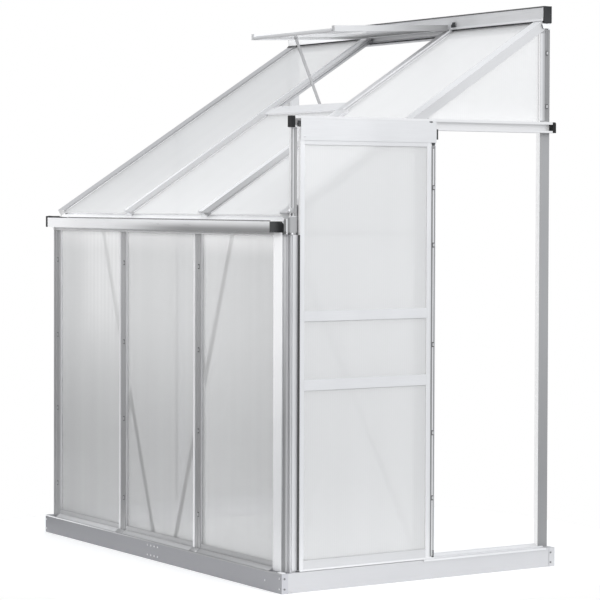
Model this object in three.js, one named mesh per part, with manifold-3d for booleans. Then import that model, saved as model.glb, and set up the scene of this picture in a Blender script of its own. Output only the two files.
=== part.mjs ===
// Lean-to greenhouse: aluminium frame, twin-wall sheets, sliding gable door and one roof vent.
// Millimetres. X runs along the house wall, the low front wall faces -Y and +Z is up.
// The drawing starts from the front edge of the base; the last lines centre it on its own box.
import * as THREE from 'three';
import Module from 'manifold-3d';

const wasm = await Module();
wasm.setup();

// Sheets and the gaps they sit in
const sheet = 6;
const fit = 0.3;
const edge_play = 1;
const slot_depth = 14;
const slot = sheet + 2 * fit;
const cut_past = 60;
const running = 0.1;
const round_sides = 32;

// Frame section shared by the wall bars and the roof bars
const flange = 8;
const back = 9.4;
const bar_deep = flange + slot + back;
const bar_face = 56;
const bar_web = bar_face - 2 * slot_depth;
const bar_back = 44;

// Plan of the frame on its base
const bay = 610;
const post_outset = 15;
const frame_half = 1.5 * bay + post_outset;
const base_margin = 35;
const base_half = frame_half + base_margin;
const front_face = 24;
const gable_depth = 1262;
const wall_face = front_face + gable_depth;
const wall_margin = 12;
const base_depth = wall_face + wall_margin;
const base_height = 75;
const post_face = 60;
const post_side = 38;
const wall_post_side = 48;
const mid_post_front = 635;
const mid_post_side = 53;
const mid_post_rear = mid_post_front + mid_post_side;
const door_post_front = wall_face - wall_post_side;

// Heights and the roof plane
const sill_height = 28;
const sill_top = base_height + sill_height;
const sill_bed = 10;
const post_top = 1332;
const roof_over_eave = 57;
const roof_foot = post_top + roof_over_eave;
const roof_angle = THREE.MathUtils.degToRad(32.35);
const roof_cos = Math.cos(roof_angle);
const roof_sin = Math.sin(roof_angle);
const roof_tan = Math.tan(roof_angle);
const gable_skirt = 36;
const gable_inner_skirt = 34;

// Height of the plane that lies a depth under the roof's top face, at one place in the depth
function roof_z(y, depth) {
  return roof_foot + y * roof_tan - depth / roof_cos;
}

// Planes of the side walls: outer face, sheet slot and inner face, counted from the middle
const slot_out = frame_half - flange;
const slot_in = slot_out - slot;
const gable_in = frame_half - bar_deep;
const sheet_out = slot_out - fit;

// Colours, all matt enough to stand in daylight
const paint = {
  aluminium: [0.80, 0.81, 0.83, 0.38, 0.9, 1],
  galvanised: [0.62, 0.63, 0.64, 0.45, 0.85, 1],
  sheet: [0.90, 0.91, 0.92, 0.35, 0, 0.6],
  cap: [0.05, 0.05, 0.055, 0.5, 0, 1],
};

function material_of(name) {
  const [red, green, blue, roughness, metalness, opacity] = paint[name];
  return new THREE.MeshStandardMaterial({
    name,
    color: new THREE.Color(red, green, blue),
    roughness,
    metalness,
    opacity,
    transparent: opacity < 1,
  });
}

// Closed outline from a list of corners
function outline(corners) {
  return new THREE.Shape(corners.map(([a, b]) => new THREE.Vector2(a, b)));
}

function pulled(corners, length) {
  return new THREE.ExtrudeGeometry(outline(corners), { depth: length, bevelEnabled: false, curveSegments: 1 });
}

// A section drawn in Y and Z, pulled along X
function along_x(corners, from, to) {
  const shape = pulled(corners, to - from);
  const turn = new THREE.Matrix4().makeBasis(
    new THREE.Vector3(0, 1, 0), new THREE.Vector3(0, 0, 1), new THREE.Vector3(1, 0, 0),
  );
  shape.applyMatrix4(turn);
  shape.translate(from, 0, 0);
  return solid(shape);
}

// A section drawn in X and Z, pulled along Y
function along_y(corners, from, to) {
  const shape = pulled(corners, to - from);
  const turn = new THREE.Matrix4().makeBasis(
    new THREE.Vector3(1, 0, 0), new THREE.Vector3(0, 0, 1), new THREE.Vector3(0, -1, 0),
  );
  shape.applyMatrix4(turn);
  shape.translate(0, to, 0);
  return solid(shape);
}

// A section drawn in X and Y, pulled along Z
function along_z(corners, from, to) {
  const shape = pulled(corners, to - from);
  shape.translate(0, 0, from);
  return solid(shape);
}

function box(low, high) {
  const shape = new THREE.BoxGeometry(high[0] - low[0], high[1] - low[1], high[2] - low[2]);
  shape.translate((low[0] + high[0]) / 2, (low[1] + high[1]) / 2, (low[2] + high[2]) / 2);
  return solid(shape);
}

// A round bar lying along X
function round_x(y, z, radius, from, to) {
  const shape = new THREE.CylinderGeometry(radius, radius, to - from, round_sides);
  shape.rotateZ(-Math.PI / 2);
  shape.translate((from + to) / 2, y, z);
  return solid(shape);
}

// Turns a three.js shape into a closed solid, with equal corners joined
function solid(geometry) {
  const places = geometry.getAttribute('position');
  const order = geometry.index ? Array.from(geometry.index.array) : [...Array(places.count).keys()];
  const seen = new Map();
  const corners = [];
  const triangles = [];
  const grain = 1e4;
  for (const i of order) {
    const key = [places.getX(i), places.getY(i), places.getZ(i)].map((v) => Math.round(v * grain)).join();
    if (!seen.has(key)) {
      seen.set(key, corners.length / 3);
      corners.push(places.getX(i), places.getY(i), places.getZ(i));
    }
    triangles.push(seen.get(key));
  }
  const kept = [];
  for (let t = 0; t < triangles.length; t += 3) {
    const [a, b, c] = [triangles[t], triangles[t + 1], triangles[t + 2]];
    if (a !== b && b !== c && a !== c) {
      kept.push(a, b, c);
    }
  }
  return new wasm.Manifold(new wasm.Mesh({
    numProp: 3,
    vertProperties: new Float32Array(corners),
    triVerts: new Uint32Array(kept),
  }));
}

// Turns a closed solid back into a three.js shape with flat faces
function shown(body) {
  const mesh = body.getMesh();
  const places = new Float32Array(mesh.numVert * 3);
  for (let i = 0; i < mesh.numVert; i += 1) {
    for (let k = 0; k < 3; k += 1) {
      places[3 * i + k] = mesh.vertProperties[i * mesh.numProp + k];
    }
  }
  const shape = new THREE.BufferGeometry();
  shape.setAttribute('position', new THREE.BufferAttribute(places, 3));
  shape.setIndex(new THREE.BufferAttribute(new Uint32Array(mesh.triVerts), 1));
  const flat = shape.toNonIndexed();
  flat.computeVertexNormals();
  return flat;
}

const greenhouse = new THREE.Group();

function add(name, body, colour, group = greenhouse) {
  const mesh = new THREE.Mesh(shown(body), material_of(colour));
  mesh.name = name;
  group.add(mesh);
  return mesh;
}

// The same outline on the other end wall: X changes sign and the order of corners turns round
function mirrored(corners) {
  return corners.map(([x, other]) => [-x, other]).reverse();
}

function on_side(side, corners) {
  return side > 0 ? corners : mirrored(corners);
}

function span(side, near, far) {
  return side > 0 ? [near, far] : [-far, -near];
}

const sides = [['left', -1], ['right', 1]];

// Base: folded steel rails, open towards the house wall; the front one is two lengths that meet at a seam
const base_skin = 2;
const base_shelf = 45;
const base_lip = 15;
const base_tab = 28;
const base_seam = -10;

function base_front_rail(side) {
  const section = [
    [0, 0], [base_lip, 0], [base_lip, base_skin], [base_skin, base_skin],
    [base_skin, base_height - base_skin], [base_shelf, base_height - base_skin],
    [base_shelf, base_height], [0, base_height],
  ];
  const [low, high] = span(side, fit / 2 + side * base_seam, base_half - base_skin);
  const [tab_low, tab_high] = span(side, base_half - base_skin, base_half);
  const tab = box([tab_low, 0, 0], [tab_high, base_tab, base_height]);
  return along_x(section, low, high).add(tab);
}

function base_gable_rail(side) {
  const out = base_half - base_skin;
  const section = on_side(side, [
    [out - base_lip, 0], [out, 0], [out, base_height], [out - base_shelf, base_height],
    [out - base_shelf, base_height - base_skin], [out - base_skin, base_height - base_skin],
    [out - base_skin, base_skin], [out - base_lip, base_skin],
  ]);
  const rail = along_y(section, base_shelf + fit, base_depth);
  const [web_low, web_high] = span(side, out - base_skin, out);
  const web = box(
    [web_low, base_skin + fit, base_skin + fit],
    [web_high, base_shelf + fit + edge_play, base_height - base_skin - fit],
  );
  const [tab_low, tab_high] = span(side, out, base_half);
  const tab = box([tab_low, base_depth - base_tab, 0], [tab_high, base_depth, base_height]);
  const [end_low, end_high] = span(side, out - base_shelf, out);
  const end = box([end_low, base_depth - base_skin, 0], [end_high, base_depth, base_height]);
  return rail.add(web).add(tab).add(end);
}

for (const [name, side] of sides) {
  add(`base_front_rail_${name}`, base_front_rail(side), 'galvanised');
  add(`base_gable_rail_${name}`, base_gable_rail(side), 'galvanised');
}

// Sills: flat bars with a bed for the sheets, standing on the base's shelf
const slot_front = front_face + flange;
const slot_rear = slot_front + slot;
const front_in = front_face + bar_deep;
const corner_rear = front_face + post_side;

function front_sill() {
  const section = [
    [front_face, base_height], [front_in, base_height], [front_in, sill_top], [slot_rear, sill_top],
    [slot_rear, sill_top - sill_bed], [slot_front, sill_top - sill_bed], [slot_front, sill_top],
    [front_face, sill_top],
  ];
  const half = frame_half - post_face - fit;
  return along_x(section, -half, half);
}

function gable_sill(side, rear) {
  const section = on_side(side, [
    [gable_in, base_height], [frame_half, base_height], [frame_half, sill_top], [slot_out, sill_top],
    [slot_out, sill_top - sill_bed], [slot_in, sill_top - sill_bed], [slot_in, sill_top],
    [gable_in, sill_top],
  ]);
  return along_y(section, corner_rear + fit, rear - fit);
}

add('front_sill', front_sill(), 'aluminium');
add('gable_sill_left', gable_sill(-1, door_post_front), 'aluminium');
add('gable_sill_right', gable_sill(1, mid_post_rear), 'aluminium');

// Threshold in the doorway, with a nose over the base and a low rib the door runs behind
const nose_skin = 2;
const nose_drop = 6;
const sill_step = 5;
const door_gap = 20;
const guide_gap = 4;
const guide_rib = 3;
const guide_rise = 7;
const threshold_rise = 13;
const threshold_lap = 14;

function door_threshold() {
  const nose_out = base_half + fit + nose_skin;
  const tread = base_height + nose_skin;
  const rib_in = frame_half + door_gap - guide_gap - guide_rib;
  const outer = along_y([
    [frame_half + fit, base_height], [base_half + fit, base_height], [base_half + fit, base_height - nose_drop],
    [nose_out, base_height - nose_drop], [nose_out, tread], [rib_in + guide_rib, tread],
    [rib_in + guide_rib, base_height + guide_rise], [rib_in, base_height + guide_rise],
    [rib_in, base_height + sill_step], [frame_half + fit, base_height + sill_step],
  ], mid_post_rear - mid_post_side + threshold_lap, door_post_front + threshold_lap);
  const inner = along_y([
    [gable_in, base_height], [frame_half + edge_play, base_height],
    [frame_half + edge_play, base_height + sill_step],
    [gable_in + 2 * sill_step, base_height + threshold_rise], [gable_in, base_height + threshold_rise],
  ], mid_post_rear + fit, door_post_front - fit);
  return outer.add(inner);
}

add('door_threshold', door_threshold(), 'aluminium');

// Everything above the plane under the gable rafters is cut off a post with this wedge
const skirt_rest = gable_skirt + fit;

function above_rafter(to_y) {
  const low_y = -cut_past;
  return along_x([
    [low_y, roof_z(low_y, skirt_rest)], [to_y, roof_z(to_y, skirt_rest)],
    [to_y, roof_z(to_y, skirt_rest) + gable_depth], [low_y, roof_z(to_y, skirt_rest) + gable_depth],
  ], -base_half, base_half);
}

// Corner posts: a wide face to the front, a side leg that rises to carry the end rafter
const gutter_back = 40;
const corner_step = 4;
const corner_inner_rear = corner_rear - corner_step;

function corner_post(side) {
  const half = frame_half - post_face;
  const front_leg = on_side(side, [
    [half, front_face], [frame_half, front_face], [frame_half, corner_rear], [slot_out, corner_rear],
    [slot_out, front_in], [slot_in, front_in], [slot_in, corner_inner_rear], [gable_in, corner_inner_rear],
    [gable_in, front_in], [half + flange, front_in], [half + flange, slot_rear],
    [half + slot_depth, slot_rear], [half + slot_depth, slot_front], [half, slot_front],
  ]);
  const riser_front = gutter_back + fit;
  const riser = on_side(side, [
    [gable_in, riser_front], [frame_half, riser_front], [frame_half, corner_rear], [slot_out, corner_rear],
    [slot_out, front_in], [slot_in, front_in], [slot_in, corner_inner_rear], [gable_in, corner_inner_rear],
  ]);
  const tall = along_z(riser, post_top - edge_play, roof_z(corner_rear, 0)).subtract(above_rafter(wall_face));
  return along_z(front_leg, base_height, post_top).add(tall);
}

for (const [name, side] of sides) {
  add(`corner_post_${name}`, corner_post(side), 'aluminium');
}

// Glazing bars of the front wall, slotted for a sheet on each side
function front_bar(x) {
  const section = [
    [x - bar_face / 2, front_face], [x + bar_face / 2, front_face], [x + bar_face / 2, slot_front],
    [x + bar_web / 2, slot_front], [x + bar_web / 2, slot_rear], [x + bar_back / 2, slot_rear],
    [x + bar_back / 2, front_in], [x - bar_back / 2, front_in], [x - bar_back / 2, slot_rear],
    [x - bar_web / 2, slot_rear], [x - bar_web / 2, slot_front], [x - bar_face / 2, slot_front],
  ];
  return along_z(section, sill_top, post_top);
}

for (const [name, side] of sides) {
  add(`front_bar_${name}`, front_bar(side * bay / 2), 'aluminium');
}

// Middle posts of the end walls; on the right it is also the front jamb of the doorway
const inner_setback = 6;

function mid_post(side) {
  const front_part = [
    [frame_half, mid_post_front], [frame_half, mid_post_rear],
  ];
  const shared = [
    [gable_in, mid_post_front + inner_setback], [slot_in, mid_post_front + inner_setback],
    [slot_in, mid_post_front + slot_depth], [slot_out, mid_post_front + slot_depth],
    [slot_out, mid_post_front],
  ];
  const rear_left = [
    [slot_out, mid_post_rear], [slot_out, mid_post_rear - slot_depth], [slot_in, mid_post_rear - slot_depth],
    [slot_in, mid_post_rear - inner_setback], [gable_in, mid_post_rear - inner_setback],
  ];
  const rear_right = [[gable_in, mid_post_rear]];
  const rear_part = side < 0 ? rear_left : rear_right;
  const section = on_side(side, [...front_part, ...rear_part, ...shared]);
  return along_z(section, sill_top, roof_z(mid_post_rear, 0)).subtract(above_rafter(wall_face));
}

for (const [name, side] of sides) {
  add(`mid_post_${name}`, mid_post(side), 'aluminium');
}

// Wall plate: the ridge bar that is screwed to the house wall
const plate_deep = 39;
const plate_skin = 3;
const plate_block = 14;
const plate_rise = 57;
const plate_drop = 6;
const plate_cap = 6;
const plate_half = frame_half + plate_cap;
const plate_front = wall_face - plate_deep;
const block_front = wall_face - plate_block;
const plate_bottom = roof_z(plate_front + plate_skin, bar_deep + fit) - plate_drop;
const skirt_bottom = roof_z(plate_front + plate_skin, 0) + 2 * fit;
const plate_top = skirt_bottom + plate_rise;

function wall_plate() {
  const hood = along_x([
    [plate_front, skirt_bottom], [plate_front + plate_skin, skirt_bottom],
    [plate_front + plate_skin, plate_top - plate_skin], [block_front, plate_top - plate_skin],
    [block_front, plate_bottom], [wall_face, plate_bottom], [wall_face, plate_top], [plate_front, plate_top],
  ], -plate_half, plate_half);
  const ledge_front = plate_front + plate_skin;
  const ledge = along_x([
    [ledge_front, plate_bottom], [block_front + edge_play, plate_bottom],
    [block_front + edge_play, roof_z(block_front, bar_deep + fit)],
    [block_front, roof_z(block_front, bar_deep + fit)],
    [ledge_front, roof_z(ledge_front, bar_deep + fit)],
  ], fit - gable_in, gable_in - fit);
  return hood.add(ledge);
}

add('wall_plate', wall_plate(), 'aluminium');

// Wall posts: full height, cut to pass under the end rafter; the right one is the door's far jamb
function wall_post(side, slot_low) {
  const [low, high] = span(side, gable_in, frame_half);
  const post = box([low, door_post_front, base_height], [high, wall_face, plate_bottom]);
  const [cut_low, cut_high] = span(side, slot_in, slot_out);
  const groove = box(
    [cut_low, door_post_front - cut_past, slot_low],
    [cut_high, door_post_front + slot_depth, plate_bottom + cut_past],
  );
  return post.subtract(groove).subtract(above_rafter(block_front - fit));
}

// Door track height comes from the rafter where the mid post meets it
const track_clear = 6;
const track_high = 43;
const track_top = roof_z(mid_post_rear, gable_skirt) - track_clear;
const track_bottom = track_top - track_high;
const head_bed = track_top - sill_bed;

add('wall_post_left', wall_post(-1, base_height + sill_height - sill_bed), 'aluminium');
add('wall_post_right', wall_post(1, head_bed), 'aluminium');

// Rail over the doorway that carries the top sheet of the gable
function door_head_rail() {
  const section = [
    [gable_in, track_bottom], [frame_half, track_bottom], [frame_half, track_top], [slot_out, track_top],
    [slot_out, head_bed], [slot_in, head_bed], [slot_in, track_top], [gable_in, track_top],
  ];
  return along_y(section, mid_post_rear + fit, door_post_front - fit);
}

add('door_head_rail', door_head_rail(), 'aluminium');

// Cross rail at eave height behind the fixed sheet
const cross_rail_low = 5;
const cross_rail_high = 21;

function gable_cross_rail() {
  const low = post_top - cross_rail_low;
  return box(
    [gable_in, corner_inner_rear + fit, low],
    [slot_in, mid_post_front + inner_setback - fit, low + cross_rail_high],
  );
}

add('gable_cross_rail', gable_cross_rail(), 'aluminium');

// Eave: gutter trough and the beam behind it that carries the roof bars
const gutter_front = -21;
const gutter_skin = 3;
const gutter_low = 10;
const gutter_high = 41;
const gutter_bottom = post_top + gutter_low;
const gutter_lip = gutter_bottom + gutter_high;
const eave_rear = 66;
const eave_slot = 13;
const eave_half = gable_in - fit;
const seat_low = 60;
const seat_high = 72;

function eave_gutter() {
  const trough_back = gutter_back - gutter_skin;
  const section = [
    [gutter_front, gutter_bottom], [front_face - gutter_skin, gutter_bottom], [front_face - gutter_skin, post_top],
    [slot_front, post_top], [slot_front, post_top + eave_slot], [slot_rear, post_top + eave_slot],
    [slot_rear, post_top], [front_in, post_top], [front_in, post_top + flange], [eave_rear, post_top + flange],
    [eave_rear, roof_z(eave_rear, bar_deep + fit)], [gutter_back, roof_z(gutter_back, bar_deep + fit)],
    [trough_back, roof_z(gutter_back, bar_deep + fit)], [trough_back, gutter_bottom + gutter_skin + eave_slot],
    [front_face - gutter_skin, gutter_bottom + gutter_skin + eave_slot],
    [front_face - gutter_skin, gutter_bottom + gutter_skin],
    [gutter_front + gutter_skin, gutter_bottom + gutter_skin],
    [gutter_front + gutter_skin, gutter_lip], [gutter_front, gutter_lip],
  ];
  return along_x(section, -eave_half, eave_half);
}

add('eave_gutter', eave_gutter(), 'aluminium');

// End cap of the gutter, with the top rear corner cut off
const gutter_cap_thick = 6;
const cap_corner = 12;

function gutter_cap(side) {
  const [low, high] = span(side, eave_half + fit, eave_half + fit + gutter_cap_thick);
  return along_x([
    [gutter_front, gutter_bottom], [gutter_back, gutter_bottom], [gutter_back, gutter_lip - cap_corner],
    [gutter_back - cap_corner, gutter_lip], [gutter_front, gutter_lip],
  ], low, high);
}

add('gutter_cap_right', gutter_cap(1), 'cap');

// Roof: drawn flat in its own group, Y up the slope and Z out of the roof, then tilted
const roof = new THREE.Group();
roof.position.set(0, 0, roof_foot);
roof.rotation.x = roof_angle;
greenhouse.add(roof);

const rafter_gap = 2;
const rafter_foot = (gutter_back + rafter_gap) / roof_cos;
const rafter_head = (block_front - fit - gable_skirt * roof_sin) / roof_cos - edge_play;
const bar_slot_top = -flange;
const bar_slot_low = -flange - slot;

function roof_bar(x) {
  return along_y([
    [x - bar_back / 2, -bar_deep], [x + bar_back / 2, -bar_deep], [x + bar_back / 2, bar_slot_low],
    [x + bar_web / 2, bar_slot_low], [x + bar_web / 2, bar_slot_top], [x + bar_face / 2, bar_slot_top],
    [x + bar_face / 2, 0], [x - bar_face / 2, 0], [x - bar_face / 2, bar_slot_top],
    [x - bar_web / 2, bar_slot_top], [x - bar_web / 2, bar_slot_low], [x - bar_back / 2, bar_slot_low],
  ], rafter_foot, rafter_head);
}

function gable_rafter(side) {
  const inner = frame_half - bar_face;
  const low_step = (bar_face - bar_back) / 2 + edge_play;
  return along_y(on_side(side, [
    [inner + low_step, -bar_deep], [gable_in, -bar_deep], [gable_in, -gable_inner_skirt],
    [slot_in, -gable_inner_skirt], [slot_in, -bar_deep], [slot_out, -bar_deep], [slot_out, -gable_skirt],
    [frame_half, -gable_skirt], [frame_half, 0], [inner, 0], [inner, bar_slot_top],
    [inner + slot_depth, bar_slot_top], [inner + slot_depth, bar_slot_low], [inner + low_step, bar_slot_low],
  ]), rafter_foot, rafter_head);
}

for (const [name, side] of sides) {
  add(`gable_rafter_${name}`, gable_rafter(side), 'aluminium', roof);
  add(`roof_bar_${name}`, roof_bar(side * bay / 2), 'aluminium', roof);
}

// Vent sill: bar across the middle bay, with a bed for the lower sheet and a lip under the vent
const vent_frame_thick = 25;
const vent_below = 12.6;
const vent_above = vent_frame_thick - vent_below;
const vent_lift = 1;
const vent_barrel = 10.7;
const vent_back = 2;
const vent_length = 581;
const vent_free_wide = 14;
const vent_free_high = 14;
const hinge_y = plate_front - vent_barrel - fit;
const hinge_z = roof_z(hinge_y, 0) + (vent_lift + vent_below) / roof_cos;
const hinge_up_slope = hinge_y * roof_cos + (hinge_z - roof_foot) * roof_sin;
const vent_foot = hinge_up_slope - vent_length;
const vent_sill_back = 15;
const vent_sill_head = vent_foot - vent_sill_back;
const vent_sill_wide = 47;
const vent_lip = 29;
const vent_lip_low = 9;
const vent_sill_foot = vent_sill_head - vent_sill_wide;

function across(corners, low, high) {
  return along_x(corners, low, high);
}

const sill_half = bay / 2 - bar_face / 2 - fit;

// The stay's peg stands on an arm behind the sill's lip
const stay_thick = 3;
const stay_wide = 13;
const peg_radius = 3;
const peg_arm_thick = 4;
const peg_side = stay_thick / 2 + fit;
const peg_reach = 6;
const lug_root = 4;

// Vent: its own group on the hinge line; -Y runs down to the free edge, Z is out of the vent
const vent_open = THREE.MathUtils.degToRad(29.75);
const vent_rest = roof_angle - vent_open;
const vent = new THREE.Group();
vent.position.set(0, hinge_y, hinge_z);
vent.rotation.x = vent_rest;
greenhouse.add(vent);

// Pivot of the stay under the free bar, in the vent's own group and in the whole drawing
const pivot_back = 21;
const pivot_low = 18.6;
const pivot_local = [pivot_back - vent_length, -pivot_low];
const pivot = [
  hinge_y + pivot_local[0] * Math.cos(vent_rest) - pivot_local[1] * Math.sin(vent_rest),
  hinge_z + pivot_local[0] * Math.sin(vent_rest) + pivot_local[1] * Math.cos(vent_rest),
];

// Peg behind the sill's lip, on the lower side of the stay and just clear of it
const peg_back = 16.5;
const peg_low = 36;
const peg_off = stay_wide / 2 + peg_radius + fit;
const peg_s = vent_sill_head + vent_lip + peg_back;
const peg_n = -peg_low;
const peg_run = peg_s * roof_cos - peg_n * roof_sin - pivot[0];
const peg_drop = roof_foot + peg_s * roof_sin + peg_n * roof_cos - pivot[1];
const peg_far = Math.hypot(peg_run, peg_drop);
const stay_tail = 10;
const stay_length = Math.sqrt(peg_far ** 2 - peg_off ** 2) + stay_tail;
const stay_angle = Math.atan2(peg_drop, peg_run) + Math.asin(peg_off / peg_far);

function vent_sill() {
  const rear = vent_sill_head + vent_lip;
  const bar = across([
    [vent_sill_foot, -bar_deep], [rear, -bar_deep], [rear, -vent_lip_low], [vent_sill_head, -vent_lip_low],
    [vent_sill_head, 0], [vent_sill_foot, 0], [vent_sill_foot, bar_slot_top],
    [vent_sill_foot + slot_depth, bar_slot_top], [vent_sill_foot + slot_depth, bar_slot_low],
    [vent_sill_foot, bar_slot_low],
  ], -sill_half, sill_half);
  const arm = across([
    [vent_sill_head, -bar_deep], [peg_s - peg_reach, peg_n - peg_reach], [peg_s + peg_reach, peg_n - peg_reach],
    [peg_s + peg_reach, peg_n + peg_reach], [peg_s - peg_reach, peg_n + peg_reach],
    [vent_sill_head, -vent_lip_low - edge_play],
  ], peg_side, peg_side + peg_arm_thick);
  const pin = round_x(peg_s, peg_n, peg_radius, -peg_side - peg_reach, peg_side + peg_arm_thick);
  return bar.add(arm).add(pin);
}

add('vent_sill', vent_sill(), 'aluminium', roof);

// Vent frame: hinge rail, two side bars over the roof bars, a thinner free bar and the sheet
const vent_inset = 5;
const vent_half = bay / 2 - vent_inset;
const vent_side_wide = 20;
const vent_side_foot = 4;
const hinge_rail_wide = 24;
const vent_slot_low = 9;
const vent_slot_top = vent_slot_low - sheet;
const vent_slot_deep = 7;

function vent_hinge_rail() {
  const rail = across([
    [-hinge_rail_wide, -vent_below], [0, -vent_below], [0, vent_above], [-hinge_rail_wide, vent_above],
    [-hinge_rail_wide, fit - vent_slot_top], [vent_slot_deep - hinge_rail_wide, fit - vent_slot_top],
    [vent_slot_deep - hinge_rail_wide, -vent_slot_low - fit], [-hinge_rail_wide, -vent_slot_low - fit],
  ], fit - vent_half, vent_half - fit);
  const barrel = round_x(0, 0, vent_barrel, fit - vent_half, vent_half - fit);
  return rail.add(barrel);
}

function vent_side_bar(side) {
  const out = vent_half + vent_side_wide;
  return along_y(on_side(side, [
    [vent_half, -vent_below], [out, -vent_below], [out, vent_above], [vent_half, vent_above],
    [vent_half, fit - vent_slot_top], [vent_half + vent_slot_deep, fit - vent_slot_top],
    [vent_half + vent_slot_deep, -vent_slot_low - fit], [vent_half, -vent_slot_low - fit],
  ]), vent_side_foot - vent_length, -vent_back);
}

function vent_free_bar() {
  const top = vent_free_high - vent_below;
  const inner = vent_free_wide - vent_length;
  const bar = across([
    [-vent_length, -vent_below], [inner, -vent_below], [inner, -vent_slot_low - fit],
    [inner - vent_slot_deep, -vent_slot_low - fit], [inner - vent_slot_deep, fit - vent_slot_top],
    [inner, fit - vent_slot_top], [inner, top], [-vent_length, top],
  ], fit - vent_half, vent_half - fit);
  const lug_front = inner - lug_root;
  const lug_rear = pivot_local[0] + peg_reach;
  const lug_low = pivot_local[1] - peg_radius - edge_play;
  const lug = across([
    [lug_front, -vent_below + edge_play], [lug_front, -vent_below - edge_play],
    [pivot_local[0] - peg_radius, lug_low], [lug_rear, lug_low], [lug_rear, -vent_below - fit],
    [inner - fit, -vent_below - fit], [inner - fit, -vent_below + edge_play],
  ], peg_side, peg_side + peg_arm_thick);
  const pin = round_x(pivot_local[0], pivot_local[1], peg_radius, -peg_side - edge_play, peg_side + peg_arm_thick);
  return bar.add(lug).add(pin);
}

function vent_sheet() {
  const reach = vent_slot_deep - edge_play;
  return box(
    [-vent_half - reach, vent_free_wide - vent_length - reach, -vent_slot_low],
    [vent_half + reach, reach - hinge_rail_wide, -vent_slot_top],
  );
}

add('vent_hinge_rail', vent_hinge_rail(), 'aluminium', vent);
for (const [name, side] of sides) {
  add(`vent_side_bar_${name}`, vent_side_bar(side), 'aluminium', vent);
}
add('vent_free_bar', vent_free_bar(), 'aluminium', vent);
add('vent_sheet', vent_sheet(), 'sheet', vent);

// Stay: flat bar that hangs on the lug's pin and rests on the peg
const stay_group = new THREE.Group();
stay_group.position.set(0, pivot[0], pivot[1]);
stay_group.rotation.x = stay_angle;
greenhouse.add(stay_group);

function vent_stay() {
  const half = stay_thick / 2;
  const bar = box([-half, 0, -stay_wide / 2], [half, stay_length - stay_wide / 2, stay_wide / 2]);
  const eye = round_x(0, 0, stay_wide / 2, -half, half);
  const tip = round_x(stay_length - stay_wide / 2, 0, stay_wide / 2, -half, half);
  const hole = round_x(0, 0, peg_radius + running, -cut_past, cut_past);
  return bar.add(eye).add(tip).subtract(hole);
}

add('vent_stay', vent_stay(), 'aluminium', stay_group);

// Sheets of the front wall and the roof
const sheet_front = slot_front + fit;
const sheet_rear = sheet_front + sheet;
const bay_inner = bay / 2 + bar_web / 2 + edge_play;
const mid_half = bay / 2 - bar_web / 2 - edge_play;
const front_outer = frame_half - post_face + slot_depth - edge_play;
const roof_outer = frame_half - bar_face + slot_depth - edge_play;

function front_sheet(low, high) {
  const bed = sill_top - sill_bed + edge_play;
  return box([low, sheet_front, bed], [high, sheet_rear, post_top + eave_slot - edge_play]);
}

add('front_sheet_left', front_sheet(-front_outer, -bay_inner), 'sheet');
add('front_sheet_middle', front_sheet(-mid_half, mid_half), 'sheet');
add('front_sheet_right', front_sheet(bay_inner, front_outer), 'sheet');

function roof_sheet(low, high, head) {
  return box([low, rafter_foot - edge_play, bar_slot_low + fit], [high, head, bar_slot_top - fit]);
}

const full_head = rafter_head - edge_play;
add('roof_sheet_left', roof_sheet(-roof_outer, -bay_inner, full_head), 'sheet', roof);
add('roof_sheet_middle', roof_sheet(-mid_half, mid_half, vent_sill_foot + slot_depth - edge_play), 'sheet', roof);
add('roof_sheet_right', roof_sheet(bay_inner, roof_outer, full_head), 'sheet', roof);

// Sheets of the end walls, cut to the slope at the top
const gable_bed = sill_top - sill_bed + edge_play;
const gable_cut = bar_deep + edge_play;

function gable_sheet(side, front, rear, bed) {
  const [low, high] = span(side, sheet_out - sheet, sheet_out);
  return along_x([
    [front, bed], [rear, bed], [rear, roof_z(rear, gable_cut)], [front, roof_z(front, gable_cut)],
  ], low, high);
}

const sheet_start = front_in + edge_play;
const sheet_mid_front = mid_post_front + slot_depth - edge_play;
const sheet_mid_rear = mid_post_rear - slot_depth + edge_play;
const sheet_wall = door_post_front + slot_depth - edge_play;

add('gable_sheet_left_front', gable_sheet(-1, sheet_start, sheet_mid_front, gable_bed), 'sheet');
add('gable_sheet_left_rear', gable_sheet(-1, sheet_mid_rear, sheet_wall, gable_bed), 'sheet');
add('gable_sheet_right', gable_sheet(1, sheet_start, sheet_mid_front, gable_bed), 'sheet');
add('gable_sheet_over_door', gable_sheet(1, mid_post_rear + fit, sheet_wall, head_bed + edge_play), 'sheet');

// Braces: flat strips behind the sheets
const brace_thick = 3;
const brace_wide = 24;
const brace_top_x = 529;
const brace_foot_x = 83;
const brace_low = 5;

function front_brace(side) {
  const low = base_height + brace_low;
  const high = post_top + brace_low;
  const lean = Math.atan2(brace_top_x - brace_foot_x, high - low);
  const half = brace_wide / 2 / Math.cos(lean);
  return along_y(on_side(side, [
    [brace_foot_x - half, low], [brace_foot_x + half, low], [brace_top_x + half, high], [brace_top_x - half, high],
  ]), front_in + fit, front_in + fit + brace_thick);
}

for (const [name, side] of sides) {
  add(`front_brace_${name}`, front_brace(side), 'aluminium');
}

function gable_brace() {
  const low = base_height + brace_low;
  const high = post_top + brace_low;
  const foot = mid_post_rear - bar_deep;
  const head = corner_rear + brace_low;
  const lean = Math.atan2(foot - head, high - low);
  const half = brace_wide / 2 / Math.cos(lean);
  return along_x([
    [foot - half, low], [foot + half, low], [head + half, high], [head - half, high],
  ], gable_in - fit - brace_thick, gable_in - fit);
}

add('gable_brace', gable_brace(), 'aluminium');

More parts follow.
